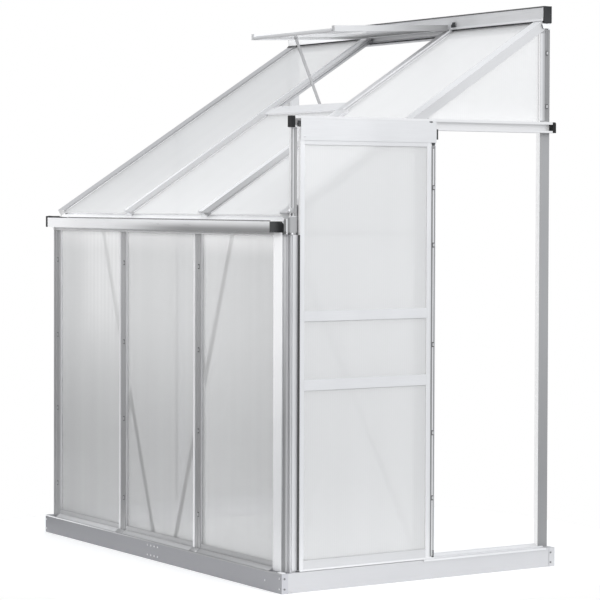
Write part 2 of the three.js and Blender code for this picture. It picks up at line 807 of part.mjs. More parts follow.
// Door track: open channel on the outside of the gable, with an upright at its front end
const track_wide = 26;
const track_off = 2;
const track_skin = 3;
const track_lip_top = 10;
const track_lip_low = 8;
const track_in = frame_half + track_off;
const track_out = track_in + track_wide;
const track_cap_long = 17;
const track_front = 41;
const track_cap_corner = 5;
const upright_front = 49;
const upright_side = 26;
const upright_thick = 14;

function door_track() {
  return along_y([
    [track_in, track_bottom], [track_out, track_bottom], [track_out, track_bottom + track_lip_low],
    [track_out - track_skin, track_bottom + track_lip_low], [track_out - track_skin, track_bottom + track_skin],
    [track_in + track_skin, track_bottom + track_skin], [track_in + track_skin, track_top - track_skin],
    [track_out - track_skin, track_top - track_skin], [track_out - track_skin, track_top - track_lip_top],
    [track_out, track_top - track_lip_top], [track_out, track_top], [track_in, track_top],
  ], track_front + track_cap_long + fit, base_depth - track_cap_long - fit);
}

function track_cap(from) {
  return along_y([
    [track_in, track_bottom], [track_out, track_bottom], [track_out, track_top - track_cap_corner],
    [track_out - track_cap_corner, track_top], [track_in, track_top],
  ], from, from + track_cap_long);
}

function track_upright() {
  return box(
    [frame_half + fit, upright_front, base_height],
    [frame_half + upright_thick, upright_front + upright_side, track_bottom - fit],
  );
}

add('door_track', door_track(), 'aluminium');
add('track_cap_front', track_cap(track_front), 'cap');
add('track_cap_rear', track_cap(base_depth - track_cap_long), 'cap');
add('track_upright', track_upright(), 'aluminium');

// Sliding door, drawn open at the front end of its track
const door_front = 78;
const door_wide = 623;
const door_rear = door_front + door_wide;
const door_in = frame_half + door_gap;
const door_thick = 13;
const door_out = door_in + door_thick;
const door_lift = 5;
const door_bottom = base_height + door_lift;
const stile_front_wide = 19;
const stile_rear_wide = 41;
const door_slot_deep = 8;
const door_slot_in = door_in + (door_thick - slot) / 2;
const door_slot_out = door_slot_in + slot;
const stile_clear = 4;
const stile_top = track_bottom - stile_clear;
const rail_front = door_front + stile_front_wide + fit;
const rail_rear = door_rear - stile_rear_wide - fit;

function door_stile(front, rear, toward) {
  const mouth = toward > 0 ? rear : front;
  const bed = mouth - toward * door_slot_deep;
  const far = toward > 0 ? front : rear;
  const ring = [
    [door_in, far], [door_out, far], [door_out, mouth], [door_slot_out, mouth], [door_slot_out, bed],
    [door_slot_in, bed], [door_slot_in, mouth], [door_in, mouth],
  ];
  return along_z(toward > 0 ? ring : ring.reverse(), door_bottom, stile_top);
}

add('door_stile_front', door_stile(door_front, door_front + stile_front_wide, 1), 'aluminium');
add('door_stile_rear', door_stile(door_rear - stile_rear_wide, door_rear, -1), 'aluminium');

// Cross rails: heights above the base as read off the picture
const bottom_rail_high = 37;
const low_rail_foot = 677;
const low_rail_high = 41;
const top_rail_foot = 936;
const top_rail_high = 38;
const head_frame_high = 30;

function door_rail(low, high, below, above) {
  const low_bed = below ? low + door_slot_deep : low;
  const high_bed = above ? high - door_slot_deep : high;
  const ring = [
    [door_in, low], [door_slot_in, low], [door_slot_in, low_bed], [door_slot_out, low_bed], [door_slot_out, low],
    [door_out, low], [door_out, high], [door_slot_out, high], [door_slot_out, high_bed], [door_slot_in, high_bed],
    [door_slot_in, high], [door_in, high],
  ];
  return along_y(ring, rail_front, rail_rear);
}

const bottom_rail_top = door_bottom + bottom_rail_high;
const low_rail_bottom = base_height + low_rail_foot;
const low_rail_top = low_rail_bottom + low_rail_high;
const top_rail_bottom = base_height + top_rail_foot;
const top_rail_top = top_rail_bottom + top_rail_high;
const head_bottom = stile_top - 2 * head_frame_high;

add('door_bottom_rail', door_rail(door_bottom, bottom_rail_top, false, true), 'aluminium');
add('door_rail_lower', door_rail(low_rail_bottom, low_rail_top, true, true), 'aluminium');
add('door_rail_upper', door_rail(top_rail_bottom, top_rail_top, true, true), 'aluminium');

// Header: top rail with an outer plate that hides the track, and the two roller bolts
const header_skin = 3;
const header_down = 48;
const header_up = 8;
const roller_radius = 9.5;
const roller_wide = 10;
const roller_bolt = 3;
const roller_front_margin = 10;
const roller_rear_margin = 26;
const roller_places = [door_front + roller_front_margin, door_rear - roller_rear_margin];
const roller_inset = 4;
const roller_z = track_bottom + track_skin + roller_radius + fit;
const roller_in = track_in + track_skin + roller_inset;

function door_header() {
  const plate_in = door_out + fit;
  const rail = door_rail(head_bottom, stile_top, true, false);
  const plate = box(
    [door_out - edge_play / 2, rail_front, track_bottom - header_down],
    [plate_in + header_skin, rail_rear, stile_top],
  );
  const skin = box(
    [plate_in, door_front, track_bottom - header_down],
    [plate_in + header_skin, door_rear, track_top - header_up],
  );
  let header = rail.add(plate).add(skin);
  for (const y of roller_places) {
    header = header.add(round_x(y, roller_z, roller_bolt, roller_in - edge_play, plate_in + header_skin / 2));
  }
  return header;
}

add('door_header', door_header(), 'aluminium');

function door_roller(y) {
  const wheel = round_x(y, roller_z, roller_radius, roller_in, roller_in + roller_wide);
  return wheel.subtract(round_x(y, roller_z, roller_bolt + running, roller_in - cut_past, roller_in + cut_past));
}

add('door_roller_front', door_roller(roller_places[0]), 'cap');
add('door_roller_rear', door_roller(roller_places[1]), 'cap');

function door_sheet(low, high) {
  const reach = door_slot_deep - edge_play;
  return box(
    [door_slot_in + fit, door_front + stile_front_wide - reach, low - reach],
    [door_slot_out - fit, door_rear - stile_rear_wide + reach, high + reach],
  );
}

add('door_sheet_lower', door_sheet(bottom_rail_top, low_rail_bottom), 'sheet');
add('door_sheet_middle', door_sheet(low_rail_top, top_rail_bottom), 'sheet');
add('door_sheet_upper', door_sheet(top_rail_top, head_bottom), 'sheet');

// Centre the whole on its own box
const out_right = base_half + fit + nose_skin;
const part = new THREE.Group();
greenhouse.position.set((base_half - out_right) / 2, -(gutter_front + base_depth) / 2, 0);
part.add(greenhouse);

export default part;
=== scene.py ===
# Lean-to greenhouse in Blender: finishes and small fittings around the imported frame, in metres.
from math import pi, radians

import bmesh
import bpy
from mathutils import Matrix, Vector


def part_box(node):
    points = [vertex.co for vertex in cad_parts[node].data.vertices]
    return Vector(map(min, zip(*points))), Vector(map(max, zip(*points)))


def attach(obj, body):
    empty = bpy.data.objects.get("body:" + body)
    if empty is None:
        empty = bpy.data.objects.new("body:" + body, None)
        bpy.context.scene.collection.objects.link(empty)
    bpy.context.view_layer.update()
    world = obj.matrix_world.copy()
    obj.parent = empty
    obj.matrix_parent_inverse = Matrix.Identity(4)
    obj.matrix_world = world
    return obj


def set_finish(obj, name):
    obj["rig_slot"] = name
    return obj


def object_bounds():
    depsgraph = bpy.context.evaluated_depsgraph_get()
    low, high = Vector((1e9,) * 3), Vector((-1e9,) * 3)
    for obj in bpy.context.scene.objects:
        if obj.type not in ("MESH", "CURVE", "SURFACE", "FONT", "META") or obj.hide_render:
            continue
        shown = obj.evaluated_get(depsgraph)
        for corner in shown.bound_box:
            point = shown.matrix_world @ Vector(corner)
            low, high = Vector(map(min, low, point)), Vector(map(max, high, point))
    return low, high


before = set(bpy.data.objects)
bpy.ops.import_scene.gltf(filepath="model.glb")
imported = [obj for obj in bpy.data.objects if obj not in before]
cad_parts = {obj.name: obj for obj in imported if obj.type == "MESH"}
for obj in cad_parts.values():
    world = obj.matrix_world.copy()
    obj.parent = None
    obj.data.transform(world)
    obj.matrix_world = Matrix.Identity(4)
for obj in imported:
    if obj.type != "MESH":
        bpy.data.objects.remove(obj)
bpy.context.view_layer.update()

# Camera: it stands about 8.6 metres off the door corner, a little under eye height. Its tilt and the
# small shift come from a fit to the corners of the base, the posts and the ridge.
camera_place = (8.2394, -5.2959, 1.4627)
camera_pitch = -0.0259
camera_roll = -0.0031
camera_yaw = 1.0009
focal_pixels = 2338.3
photo_pixels = 600
sensor_width = 36
middle_pixel = (284.1, 260.6)
camera_data = bpy.data.cameras.new("camera")
camera_data.sensor_width = sensor_width
camera_data.lens = focal_pixels / photo_pixels * sensor_width
camera_data.shift_x = 0.5 - middle_pixel[0] / photo_pixels
camera_data.shift_y = middle_pixel[1] / photo_pixels - 0.5
camera = bpy.data.objects.new("camera", camera_data)
camera.location = camera_place
camera.rotation_euler = (pi / 2 + camera_pitch, camera_roll, camera_yaw)
bpy.context.scene.collection.objects.link(camera)
bpy.context.scene.camera = camera

# Light: a white studio, brighter overhead and on the door side, and two soft lamps, so that the front
# wall stays greyer than the end wall, as in the photograph.
sky_level = 0.54
sky_to_door = 0.27
sky_to_wall = 0.30
sky_up = 0.55
background_level = 1.0


def node(tree, kind, place, **settings):
    made = tree.nodes.new(kind)
    made.location = place
    for name, value in settings.items():
        setattr(made, name, value)
    return made


def studio_sky():
    world = bpy.data.worlds.new("studio")
    world.use_nodes = True
    bpy.context.scene.world = world
    tree = world.node_tree
    tree.nodes.clear()
    link = tree.links.new
    direction = node(tree, "ShaderNodeTexCoord", (-900, 0))
    weigh = node(tree, "ShaderNodeVectorMath", (-700, 0), operation="DOT_PRODUCT")
    weigh.inputs[1].default_value = (sky_to_door, sky_to_wall, sky_up)
    lift = node(tree, "ShaderNodeMath", (-500, 0), operation="ADD")
    lift.inputs[1].default_value = sky_level
    soft = node(tree, "ShaderNodeBackground", (-300, 0))
    white = node(tree, "ShaderNodeBackground", (-300, -150))
    white.inputs["Strength"].default_value = background_level
    seen = node(tree, "ShaderNodeLightPath", (-300, 300))
    mix = node(tree, "ShaderNodeMixShader", (-80, 0))
    out = node(tree, "ShaderNodeOutputWorld", (120, 0))
    link(direction.outputs["Generated"], weigh.inputs[0])
    link(weigh.outputs["Value"], lift.inputs[0])
    link(lift.outputs[0], soft.inputs["Strength"])
    soft.inputs["Color"].default_value = (0.955, 0.975, 1.0, 1)
    white.inputs["Color"].default_value = (1, 1, 1, 1)
    link(seen.outputs["Is Camera Ray"], mix.inputs[0])
    link(soft.outputs[0], mix.inputs[1])
    link(white.outputs[0], mix.inputs[2])
    link(mix.outputs[0], out.inputs["Surface"])


studio_sky()
bpy.context.scene.view_settings.view_transform = "Standard"

low_corner, high_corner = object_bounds()
middle = (low_corner + high_corner) / 2


def lamp(name, place, target, width, height, power):
    data = bpy.data.lights.new(name, "AREA")
    data.shape = "RECTANGLE"
    data.size = width
    data.size_y = height
    data.energy = power
    lamp_object = bpy.data.objects.new(name, data)
    lamp_object.location = place
    lamp_object.rotation_euler = (Vector(target) - Vector(place)).to_track_quat("-Z", "Y").to_euler()
    lamp_object.visible_camera = False
    bpy.context.scene.collection.objects.link(lamp_object)


eave_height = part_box("eave_gutter")[1].z
eave_lamp_x = -0.2
eave_lamp_place = (eave_lamp_x, low_corner.y - 1.55, eave_height + 0.5)
door_lamp_place = (5.5, 0.5, 3.6)
lamp("eave_softbox", eave_lamp_place, (eave_lamp_x, low_corner.y, eave_height), 2.2, 0.7, 24)
lamp("door_softbox", door_lamp_place, middle, 2.5, 2.5, 90)

# Floor: a plain pale disc under the base, only as wide as the soft shadow needs.
floor_radius = 1.5
floor_sides = 96
floor_drop = 0.0005
bpy.ops.object.select_all(action="DESELECT")
bpy.ops.mesh.primitive_circle_add(vertices=floor_sides, radius=floor_radius, fill_type="NGON",
                                  location=(0, 0, -floor_drop))
floor = bpy.context.object
floor.name = "floor"
floor_paint = bpy.data.materials.new("pale_floor")
floor_paint.use_nodes = True
floor_paint.node_tree.nodes["Principled BSDF"].inputs["Base Color"].default_value = (0.93, 0.93, 0.93, 1)
floor_paint.node_tree.nodes["Principled BSDF"].inputs["Roughness"].default_value = 0.9
floor_paint.node_tree.nodes["Principled BSDF"].inputs["Emission Color"].default_value = (1, 1, 1, 1)
floor_paint.node_tree.nodes["Principled BSDF"].inputs["Emission Strength"].default_value = 0.2
floor.data.materials.append(floor_paint)

# Aluminium bars: mill-finish extrusions with fine lines along their length and a faint cloudiness.
# Tones that fade along a bar, faces made darker or lighter by the way they look, and darker and
# lighter copies of the same aluminium on different parts are painted shade and light, and faces that
# glow are painted glare, all copied from one photograph. They are no property of the metal, and under
# another light each bar would be set back to one plain tone.
roof_angle = radians(32.35)
vent_angle = radians(2.6)
to_door = (1, 0, 0)
to_wall = (0, 1, 0)
to_front = (0, -1, 0)
upward = (0, 0, 1)
downward = (0, 0, -1)
faces_from = 0.4
faces_to = 0.8
turns = {"X": (0, 0, 0), "Y": (0, 0, 0), "Z": (0, 0, 0), "roof": (-roof_angle, 0, 0),
         "vent": (-vent_angle, 0, 0)}
stretches = {"X": (1, 60, 60), "Y": (60, 1, 60), "Z": (60, 60, 1), "roof": (60, 1, 60), "vent": (60, 1, 60)}


def metal_finish(name, along, tone, metallic, roughness, chill=1.012):
    paint = bpy.data.materials.new(name)
    paint.use_nodes = True
    tree = paint.node_tree
    link = tree.links.new
    shader = tree.nodes["Principled BSDF"]
    place = node(tree, "ShaderNodeTexCoord", (-1300, 0))
    turned = node(tree, "ShaderNodeMapping", (-1100, 0))
    turned.inputs["Rotation"].default_value = turns[along]
    drawn = node(tree, "ShaderNodeMapping", (-900, 0))
    drawn.inputs["Scale"].default_value = stretches[along]
    lines = node(tree, "ShaderNodeTexNoise", (-700, 120))
    lines.inputs["Scale"].default_value = 9
    lines.inputs["Detail"].default_value = 3
    clouds = node(tree, "ShaderNodeTexNoise", (-700, -160))
    clouds.inputs["Scale"].default_value = 5
    clouds.inputs["Detail"].default_value = 4
    both = node(tree, "ShaderNodeMix", (-500, 0), data_type="FLOAT")
    both.inputs["Factor"].default_value = 0.45
    shade = node(tree, "ShaderNodeMapRange", (-300, 120))
    shade.inputs["From Min"].default_value = 0.3
    shade.inputs["From Max"].default_value = 0.7
    shade.inputs["To Min"].default_value = tone * 0.96
    shade.inputs["To Max"].default_value = tone * 1.03
    tint = node(tree, "ShaderNodeCombineColor", (-120, 120))
    cool = node(tree, "ShaderNodeMath", (-300, 300), operation="MULTIPLY")
    cool.inputs[1].default_value = chill
    dull = node(tree, "ShaderNodeMapRange", (-300, -160))
    dull.inputs["From Min"].default_value = 0.3
    dull.inputs["From Max"].default_value = 0.7
    dull.inputs["To Min"].default_value = roughness * 0.85
    dull.inputs["To Max"].default_value = roughness * 1.2
    relief = node(tree, "ShaderNodeBump", (-120, -300))
    relief.inputs["Distance"].default_value = 0.00003
    relief.inputs["Strength"].default_value = 0.6
    link(place.outputs["Object"], turned.inputs["Vector"])
    link(turned.outputs[0], drawn.inputs["Vector"])
    link(drawn.outputs[0], lines.inputs["Vector"])
    link(place.outputs["Object"], clouds.inputs["Vector"])
    link(lines.outputs["Fac"], both.inputs["A"])
    link(clouds.outputs["Fac"], both.inputs["B"])
    link(both.outputs[0], shade.inputs["Value"])
    link(both.outputs[0], dull.inputs["Value"])
    link(shade.outputs[0], tint.inputs[0])
    link(shade.outputs[0], tint.inputs[1])
    link(shade.outputs[0], cool.inputs[0])
    link(cool.outputs[0], tint.inputs[2])
    link(lines.outputs["Fac"], relief.inputs["Height"])
    link(tint.outputs[0], shader.inputs["Base Color"])
    link(dull.outputs[0], shader.inputs["Roughness"])
    link(relief.outputs[0], shader.inputs["Normal"])
    shader.inputs["Metallic"].default_value = metallic
    return paint


def ramp(paint, direction, start, end, first, last, source="Object"):
    """A number that eases from one value to another along a direction, by place or by facing."""
    tree = paint.node_tree
    link = tree.links.new
    place = node(tree, "ShaderNodeTexCoord", (-700, 900))
    along = node(tree, "ShaderNodeVectorMath", (-500, 900), operation="DOT_PRODUCT")
    along.inputs[1].default_value = direction
    share = node(tree, "ShaderNodeMapRange", (-300, 900), interpolation_type="SMOOTHSTEP")
    share.inputs["From Min"].default_value = start
    share.inputs["From Max"].default_value = end
    share.inputs["To Min"].default_value = first
    share.inputs["To Max"].default_value = last
    link(place.outputs[source], along.inputs[0])
    link(along.outputs["Value"], share.inputs["Value"])
    return share.outputs[0]


def combine(paint, operation, first, second):
    made = node(paint.node_tree, "ShaderNodeMath", (-200, 1100), operation=operation)
    for value, socket in zip((first, second), made.inputs):
        if isinstance(value, (int, float)):
            socket.default_value = value
        else:
            paint.node_tree.links.new(value, socket)
    return made.outputs[0]


def weigh_colour(paint, share):
    tree = paint.node_tree
    colour_input = tree.nodes["Principled BSDF"].inputs["Base Color"]
    scaled = node(tree, "ShaderNodeVectorMath", (-100, 900), operation="SCALE")
    tree.links.new(colour_input.links[0].from_socket, scaled.inputs[0])
    tree.links.new(share, scaled.inputs["Scale"])
    tree.links.new(scaled.outputs[0], colour_input)


# Painted light and shade: scales the colour by a share that eases along a direction.
def fade(paint, direction, start, end, first_share, last_share, source="Object"):
    weigh_colour(paint, ramp(paint, direction, start, end, first_share, last_share, source))


def glow(paint, share):
    """Painted light: a face gives off light by itself, to copy glare the soft lamps alone do not reach."""
    shader = paint.node_tree.nodes["Principled BSDF"]
    shader.inputs["Emission Color"].default_value = (1, 1, 1, 1)
    if isinstance(share, (int, float)):
        shader.inputs["Emission Strength"].default_value = share
    else:
        paint.node_tree.links.new(share, shader.inputs["Emission Strength"])


def shade_faces(paint, way, share):
    """Painted shade on faces that look one way; a share above one paints light on them instead."""
    fade(paint, way, faces_from, faces_to, 1, share, "Normal")


def light_faces(paint, way, strength, start=faces_from):
    """Painted light: lets only those faces glow that look one way."""
    glow(paint, ramp(paint, way, start, faces_to, 0, strength, "Normal"))


def dress(names, paint):
    for name in names:
        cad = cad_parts[name]
        cad.data.materials.clear()
        cad.data.materials.append(paint)


upright_metal = metal_finish("mill_aluminium_upright", "Z", 0.80, 0.75, 0.36)
cross_metal = metal_finish("mill_aluminium_along_gable", "Y", 0.80, 0.75, 0.36)
long_metal = metal_finish("mill_aluminium_along_front", "X", 0.80, 0.75, 0.36)
# Gutter: painted shade makes the lower part of its face darker, more so towards the door end, and a painted glare
# makes its left end glow.
gutter_metal = metal_finish("mill_aluminium_gutter", "X", 0.98, 0.2, 0.3)
gutter_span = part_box("gutter_cap_right")
gutter_floor = 0.006
gutter_shade_span = (-0.50, 0.30)
gutter_glare_span = (-0.92, -0.45)
gutter_foot = ramp(gutter_metal, upward, gutter_span[0].z + gutter_floor, gutter_span[1].z, 0.34, 1)
gutter_reach = ramp(gutter_metal, to_door, *gutter_shade_span, 0, 1)
gutter_shade = combine(gutter_metal, "SUBTRACT", 1, gutter_foot)
gutter_loss = combine(gutter_metal, "MULTIPLY", gutter_shade, gutter_reach)
weigh_colour(gutter_metal, combine(gutter_metal, "SUBTRACT", 1, gutter_loss))
glow(gutter_metal, ramp(gutter_metal, to_door, *gutter_glare_span, 0.2, 0))
ridge_metal = metal_finish("mill_aluminium_ridge", "X", 0.95, 0.4, 0.45)
# The roof bars' sides towards the door are painted darker, as shade.
rafter_metal = metal_finish("mill_aluminium_rafter", "roof", 0.86, 0.6, 0.36)
shade_faces(rafter_metal, to_door, 0.70)
opening_metal = metal_finish("mill_aluminium_opening", "X", 0.93, 0.15, 0.4)
# The vent's undersides are painted darker, as shade.
vent_metal = metal_finish("mill_aluminium_vent", "vent", 0.95, 0.3, 0.36)
shade_faces(vent_metal, downward, 0.7)
stay_metal = metal_finish("stay_strip", "Z", 0.52, 0.6, 0.4)
header_metal = metal_finish("mill_aluminium_header", "Y", 0.74, 0.7, 0.36)
# The door stiles glow on their faces towards the front, as painted light.
stile_metal = metal_finish("mill_aluminium_stile", "Z", 0.80, 0.75, 0.36)
light_faces(stile_metal, to_front, 0.32)
# The vent's right side bar is painted darker towards the ridge, as shade.
vent_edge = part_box("vent_side_bar_right")
vent_edge_metal = metal_finish("mill_aluminium_vent_edge", "vent", 0.95, 0.3, 0.36)
vent_edge_start = 0.05
fade(vent_edge_metal, to_wall, vent_edge[0].y + vent_edge_start, vent_edge[1].y, 0.76, 0.38)
# The end rafter by the door is painted darker on its side towards the door and towards the eave, as shade.
end_rafter_metal = metal_finish("mill_aluminium_end_rafter", "roof", 0.97, 0.12, 0.42)
end_rafter_span = (-0.35, 0.30)
shade_faces(end_rafter_metal, to_door, 0.70)
fade(end_rafter_metal, to_wall, *end_rafter_span, 0.62, 1)
# Parts behind the door and the end sheet are a dark copy of the aluminium: painted shade.
hidden_metal = metal_finish("mill_aluminium_behind_door", "Z", 0.38, 0.5, 0.42)
# The far end parts are a light copy of the aluminium, darker on faces towards the door and glowing on faces
# towards the front: painted light and shade.
far_metal = metal_finish("mill_aluminium_far_end", "Z", 0.97, 0.1, 0.45)
shade_faces(far_metal, to_door, 0.87)
light_faces(far_metal, to_front, 0.11)
gable_sill_metal = metal_finish("mill_aluminium_gable_sill", "Y", 0.66, 0.7, 0.4)
# The door track glows a little, as painted light.
track_metal = metal_finish("mill_aluminium_track", "Y", 0.66, 0.3, 0.4)
glow(track_metal, 0.14)
# The vent's free bar is painted darker towards the bottom, as shade.
free_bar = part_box("vent_free_bar")
free_bar_metal = metal_finish("mill_aluminium_free_bar", "X", 0.97, 0.2, 0.36)
fade(free_bar_metal, upward, free_bar[0].z, free_bar[1].z, 0.5, 1)

dress(["corner_post_left", "corner_post_right", "front_bar_left", "front_bar_right"], upright_metal)
dress(["track_upright"], metal_finish("mill_aluminium_track_upright", "Z", 0.78, 0.35, 0.5))
dress(["door_stile_front", "door_stile_rear"], stile_metal)
dress(["mid_post_left", "wall_post_left", "gable_sill_left"], far_metal)
dress(["mid_post_right", "gable_cross_rail"], hidden_metal)
dress(["gable_sill_right", "door_bottom_rail"], gable_sill_metal)
dress(["door_track"], track_metal)
dress(["door_head_rail", "door_rail_lower", "door_rail_upper", "door_threshold"], cross_metal)
dress(["front_sill"], long_metal)
dress(["eave_gutter"], gutter_metal)
dress(["wall_plate"], ridge_metal)
# The far rafter is a dark copy of the aluminium that glows on faces towards the front and is darker on faces
# towards the door: painted light and shade.
far_rafter_metal = metal_finish("mill_aluminium_far_rafter", "roof", 0.62, 0.5, 0.42)
light_faces(far_rafter_metal, to_front, 0.40, 0.6)
shade_faces(far_rafter_metal, to_door, 0.62)
dress(["gable_rafter_left"], far_rafter_metal)
dress(["roof_bar_left", "roof_bar_right"], rafter_metal)
dress(["vent_sill"], opening_metal)
dress(["gable_rafter_right"], end_rafter_metal)
dress(["vent_hinge_rail", "vent_side_bar_left"], vent_metal)
dress(["vent_free_bar"], free_bar_metal)
dress(["vent_side_bar_right"], vent_edge_metal)
dress(["vent_stay"], stay_metal)
dress(["door_header"], header_metal)

# The rear post is a dark copy of the aluminium that glows on faces towards the front and is darker towards the
# bottom: painted shade and light.
wall_post_metal = metal_finish("mill_aluminium_wall_post", "Z", 0.40, 0.5, 0.45)
wall_post_span = (0.2, 1.1)
light_faces(wall_post_metal, to_front, 0.62)
fade(wall_post_metal, upward, *wall_post_span, 0.80, 1)
dress(["wall_post_right"], wall_post_metal)
brace_metal = metal_finish("brace_strip", "Z", 0.22, 0.4, 0.5)
dress(["front_brace_left", "front_brace_right", "gable_brace"], brace_metal)

# Base: rails folded from galvanised sheet, dull and slightly mottled where the zinc has frosted. The
# front, door-side and far rails are darker and lighter copies of it, painted shade and light, and the
# front rails are painted lighter on their faces towards the door.
galvanised_front = metal_finish("galvanised_front", "X", 0.40, 0.8, 0.5, 1.045)
shade_faces(galvanised_front, to_door, 1.42)
galvanised_side = metal_finish("galvanised_side", "Y", 0.62, 0.6, 0.5, 1.02)
dress(["base_front_rail_left", "base_front_rail_right"], galvanised_front)
galvanised_far = metal_finish("galvanised_far", "Y", 0.97, 0.1, 0.5)
dress(["base_gable_rail_left"], galvanised_far)
dress(["base_gable_rail_right"], galvanised_side)

# Twin-wall sheets: milky plastic in two skins, with webs taken to be ten millimetres apart that show
# as fine upright lines. Their soft stripes, fades and glow copy one photograph, as the bars' do: the
# fades are painted shade, the glow painted glare and reflection, and the front, end and roof sheets
# are darker and lighter copies of one plastic, painted shade and light.
web_pitch = 0.010
rib_glare_pitch = 0.032
web_cover = 0.02
foot_low = 0.40
foot_high = 1.05


def sheet_finish(name, across, turn, tone, cover, streak):
    paint = bpy.data.materials.new(name)
    paint.use_nodes = True
    paint.surface_render_method = "BLENDED"
    tree = paint.node_tree
    link = tree.links.new
    shader = tree.nodes["Principled BSDF"]
    place = node(tree, "ShaderNodeTexCoord", (-1500, 0))
    turned = node(tree, "ShaderNodeMapping", (-1300, 0))
    turned.inputs["Rotation"].default_value = turns[turn]
    stripes_scale = {"X": (7, 0.2, 0.2), "Y": (0.2, 7, 0.2)}[across]
    drawn = node(tree, "ShaderNodeMapping", (-1100, 150))
    drawn.inputs["Scale"].default_value = stripes_scale
    stripes = node(tree, "ShaderNodeTexNoise", (-900, 150))
    stripes.inputs["Scale"].default_value = 1
    stripes.inputs["Detail"].default_value = 2
    webs = node(tree, "ShaderNodeTexWave", (-900, -150), wave_type="BANDS", bands_direction=across)
    webs.inputs["Scale"].default_value = 2 * pi / (20 * web_pitch)
    webs.inputs["Distortion"].default_value = 0
    sharp = node(tree, "ShaderNodeMapRange", (-700, -150))
    sharp.inputs["From Min"].default_value = 0.8
    sharp.inputs["From Max"].default_value = 1.0
    thick = node(tree, "ShaderNodeMapRange", (-500, 150))
    thick.inputs["From Min"].default_value = 0.3
    thick.inputs["From Max"].default_value = 0.7
    thick.inputs["To Min"].default_value = cover - streak
    thick.inputs["To Max"].default_value = cover + streak
    add_web = node(tree, "ShaderNodeMath", (-300, 0), operation="MULTIPLY_ADD")
    add_web.inputs[1].default_value = web_cover
    shade = node(tree, "ShaderNodeMapRange", (-500, 400))
    shade.inputs["From Min"].default_value = 0.3
    shade.inputs["From Max"].default_value = 0.7
    shade.inputs["To Min"].default_value = tone * (1 - streak)
    shade.inputs["To Max"].default_value = tone * (1 + streak)
    tint = node(tree, "ShaderNodeCombineColor", (-250, 400))
    relief = node(tree, "ShaderNodeBump", (-250, -300))
    relief.inputs["Distance"].default_value = 0.00003
    relief.inputs["Strength"].default_value = 0.5
    link(place.outputs["Object"], turned.inputs["Vector"])
    link(turned.outputs[0], drawn.inputs["Vector"])
    link(drawn.outputs[0], stripes.inputs["Vector"])
    link(turned.outputs[0], webs.inputs["Vector"])
    link(webs.outputs["Fac"], sharp.inputs["Value"])
    link(stripes.outputs["Fac"], thick.inputs["Value"])
    link(sharp.outputs[0], add_web.inputs[0])
    link(thick.outputs[0], add_web.inputs[2])
    link(stripes.outputs["Fac"], shade.inputs["Value"])
    for channel in range(3):
        link(shade.outputs[0], tint.inputs[channel])
    link(tint.outputs[0], shader.inputs["Base Color"])
    link(add_web.outputs[0], shader.inputs["Alpha"])
    link(webs.outputs["Fac"], relief.inputs["Height"])
    link(relief.outputs[0], shader.inputs["Normal"])
    shader.inputs["Roughness"].default_value = 0.35
    shader.inputs["Specular IOR Level"].default_value = 0.3
    return paint


# Front sheets: each is painted darker towards its foot, as shade, and glows under the eave, as painted glare; the
# left one also carries a painted reflection in stripes along its ribs over its upper part.
eave_glare = (1.23, 1.33)
sky_patch_across = (-0.72, -0.58)
sky_patch_up = (0.70, 1.10)
rib_light_swing = 0.06
rib_light_base = 0.05
front_tones = (("front_sheet_left", 0.82, 0.70, 0.10), ("front_sheet_middle", 0.79, 0.70, 0.11),
               ("front_sheet_right", 0.83, 0.76, 0.20))
for name, tone, foot_share, glare_level in front_tones:
    front_sheet_paint = sheet_finish(name + "_paint", "X", "X", tone, 0.52, 0.02)
    fade(front_sheet_paint, upward, foot_low, foot_high, foot_share, 1)
    glare = ramp(front_sheet_paint, upward, *eave_glare, 0, glare_level)
    if name == "front_sheet_left":
        patch_across = ramp(front_sheet_paint, to_door, *sky_patch_across, 0, 1)
        patch_up = ramp(front_sheet_paint, upward, *sky_patch_up, 0, 1)
        sky_patch = combine(front_sheet_paint, "MULTIPLY", patch_across, patch_up)
        ribs = node(front_sheet_paint.node_tree, "ShaderNodeTexWave", (-900, 1300), wave_type="BANDS",
                    bands_direction="X")
        ribs.inputs["Scale"].default_value = 2 * pi / (20 * rib_glare_pitch)
        ribs_place = node(front_sheet_paint.node_tree, "ShaderNodeTexCoord", (-1100, 1300))
        front_sheet_paint.node_tree.links.new(ribs_place.outputs["Object"], ribs.inputs["Vector"])
        rib_light = combine(front_sheet_paint, "MULTIPLY_ADD", ribs.outputs["Fac"], rib_light_swing)
        rib_light.node.inputs[2].default_value = rib_light_base
        patch_light = combine(front_sheet_paint, "MULTIPLY", sky_patch, rib_light)
        glare = combine(front_sheet_paint, "ADD", glare, patch_light)
    glow(front_sheet_paint, glare)
    dress([name], front_sheet_paint)
# The end and door sheets are painted darker towards the bottom, the roof sheets darker towards the left and the
# eave and glowing more towards the ridge, and the vent sheet darker towards the ridge and more see-through away
# from it: painted shade and glare.
gable_sheet_paint = sheet_finish("sheet_gable", "Y", "Y", 0.92, 0.60, 0.006)
gable_sheet_span = (0.2, 1.2)
fade(gable_sheet_paint, upward, *gable_sheet_span, 0.89, 1)
roof_sheet_paint = sheet_finish("sheet_roof", "X", "roof", 0.97, 0.60, 0.006)
roof_across_span = (-0.9, 0.3)
roof_up_span = (-0.45, 0.10)
roof_glare_span = (-0.30, 0.40)
fade(roof_sheet_paint, to_door, *roof_across_span, 0.90, 1)
fade(roof_sheet_paint, to_wall, *roof_up_span, 0.92, 1)
glow(roof_sheet_paint, ramp(roof_sheet_paint, to_wall, *roof_glare_span, 0, 0.035))
vent_sheet_paint = sheet_finish("sheet_vent", "X", "vent", 0.97, 0.85, 0.006)
vent_shade_span = (vent_edge[1].y - 0.22, vent_edge[1].y - 0.04)
fade(vent_sheet_paint, to_wall, *vent_shade_span, 1, 0.35)
vent_alpha = vent_sheet_paint.node_tree.nodes["Principled BSDF"].inputs["Alpha"]
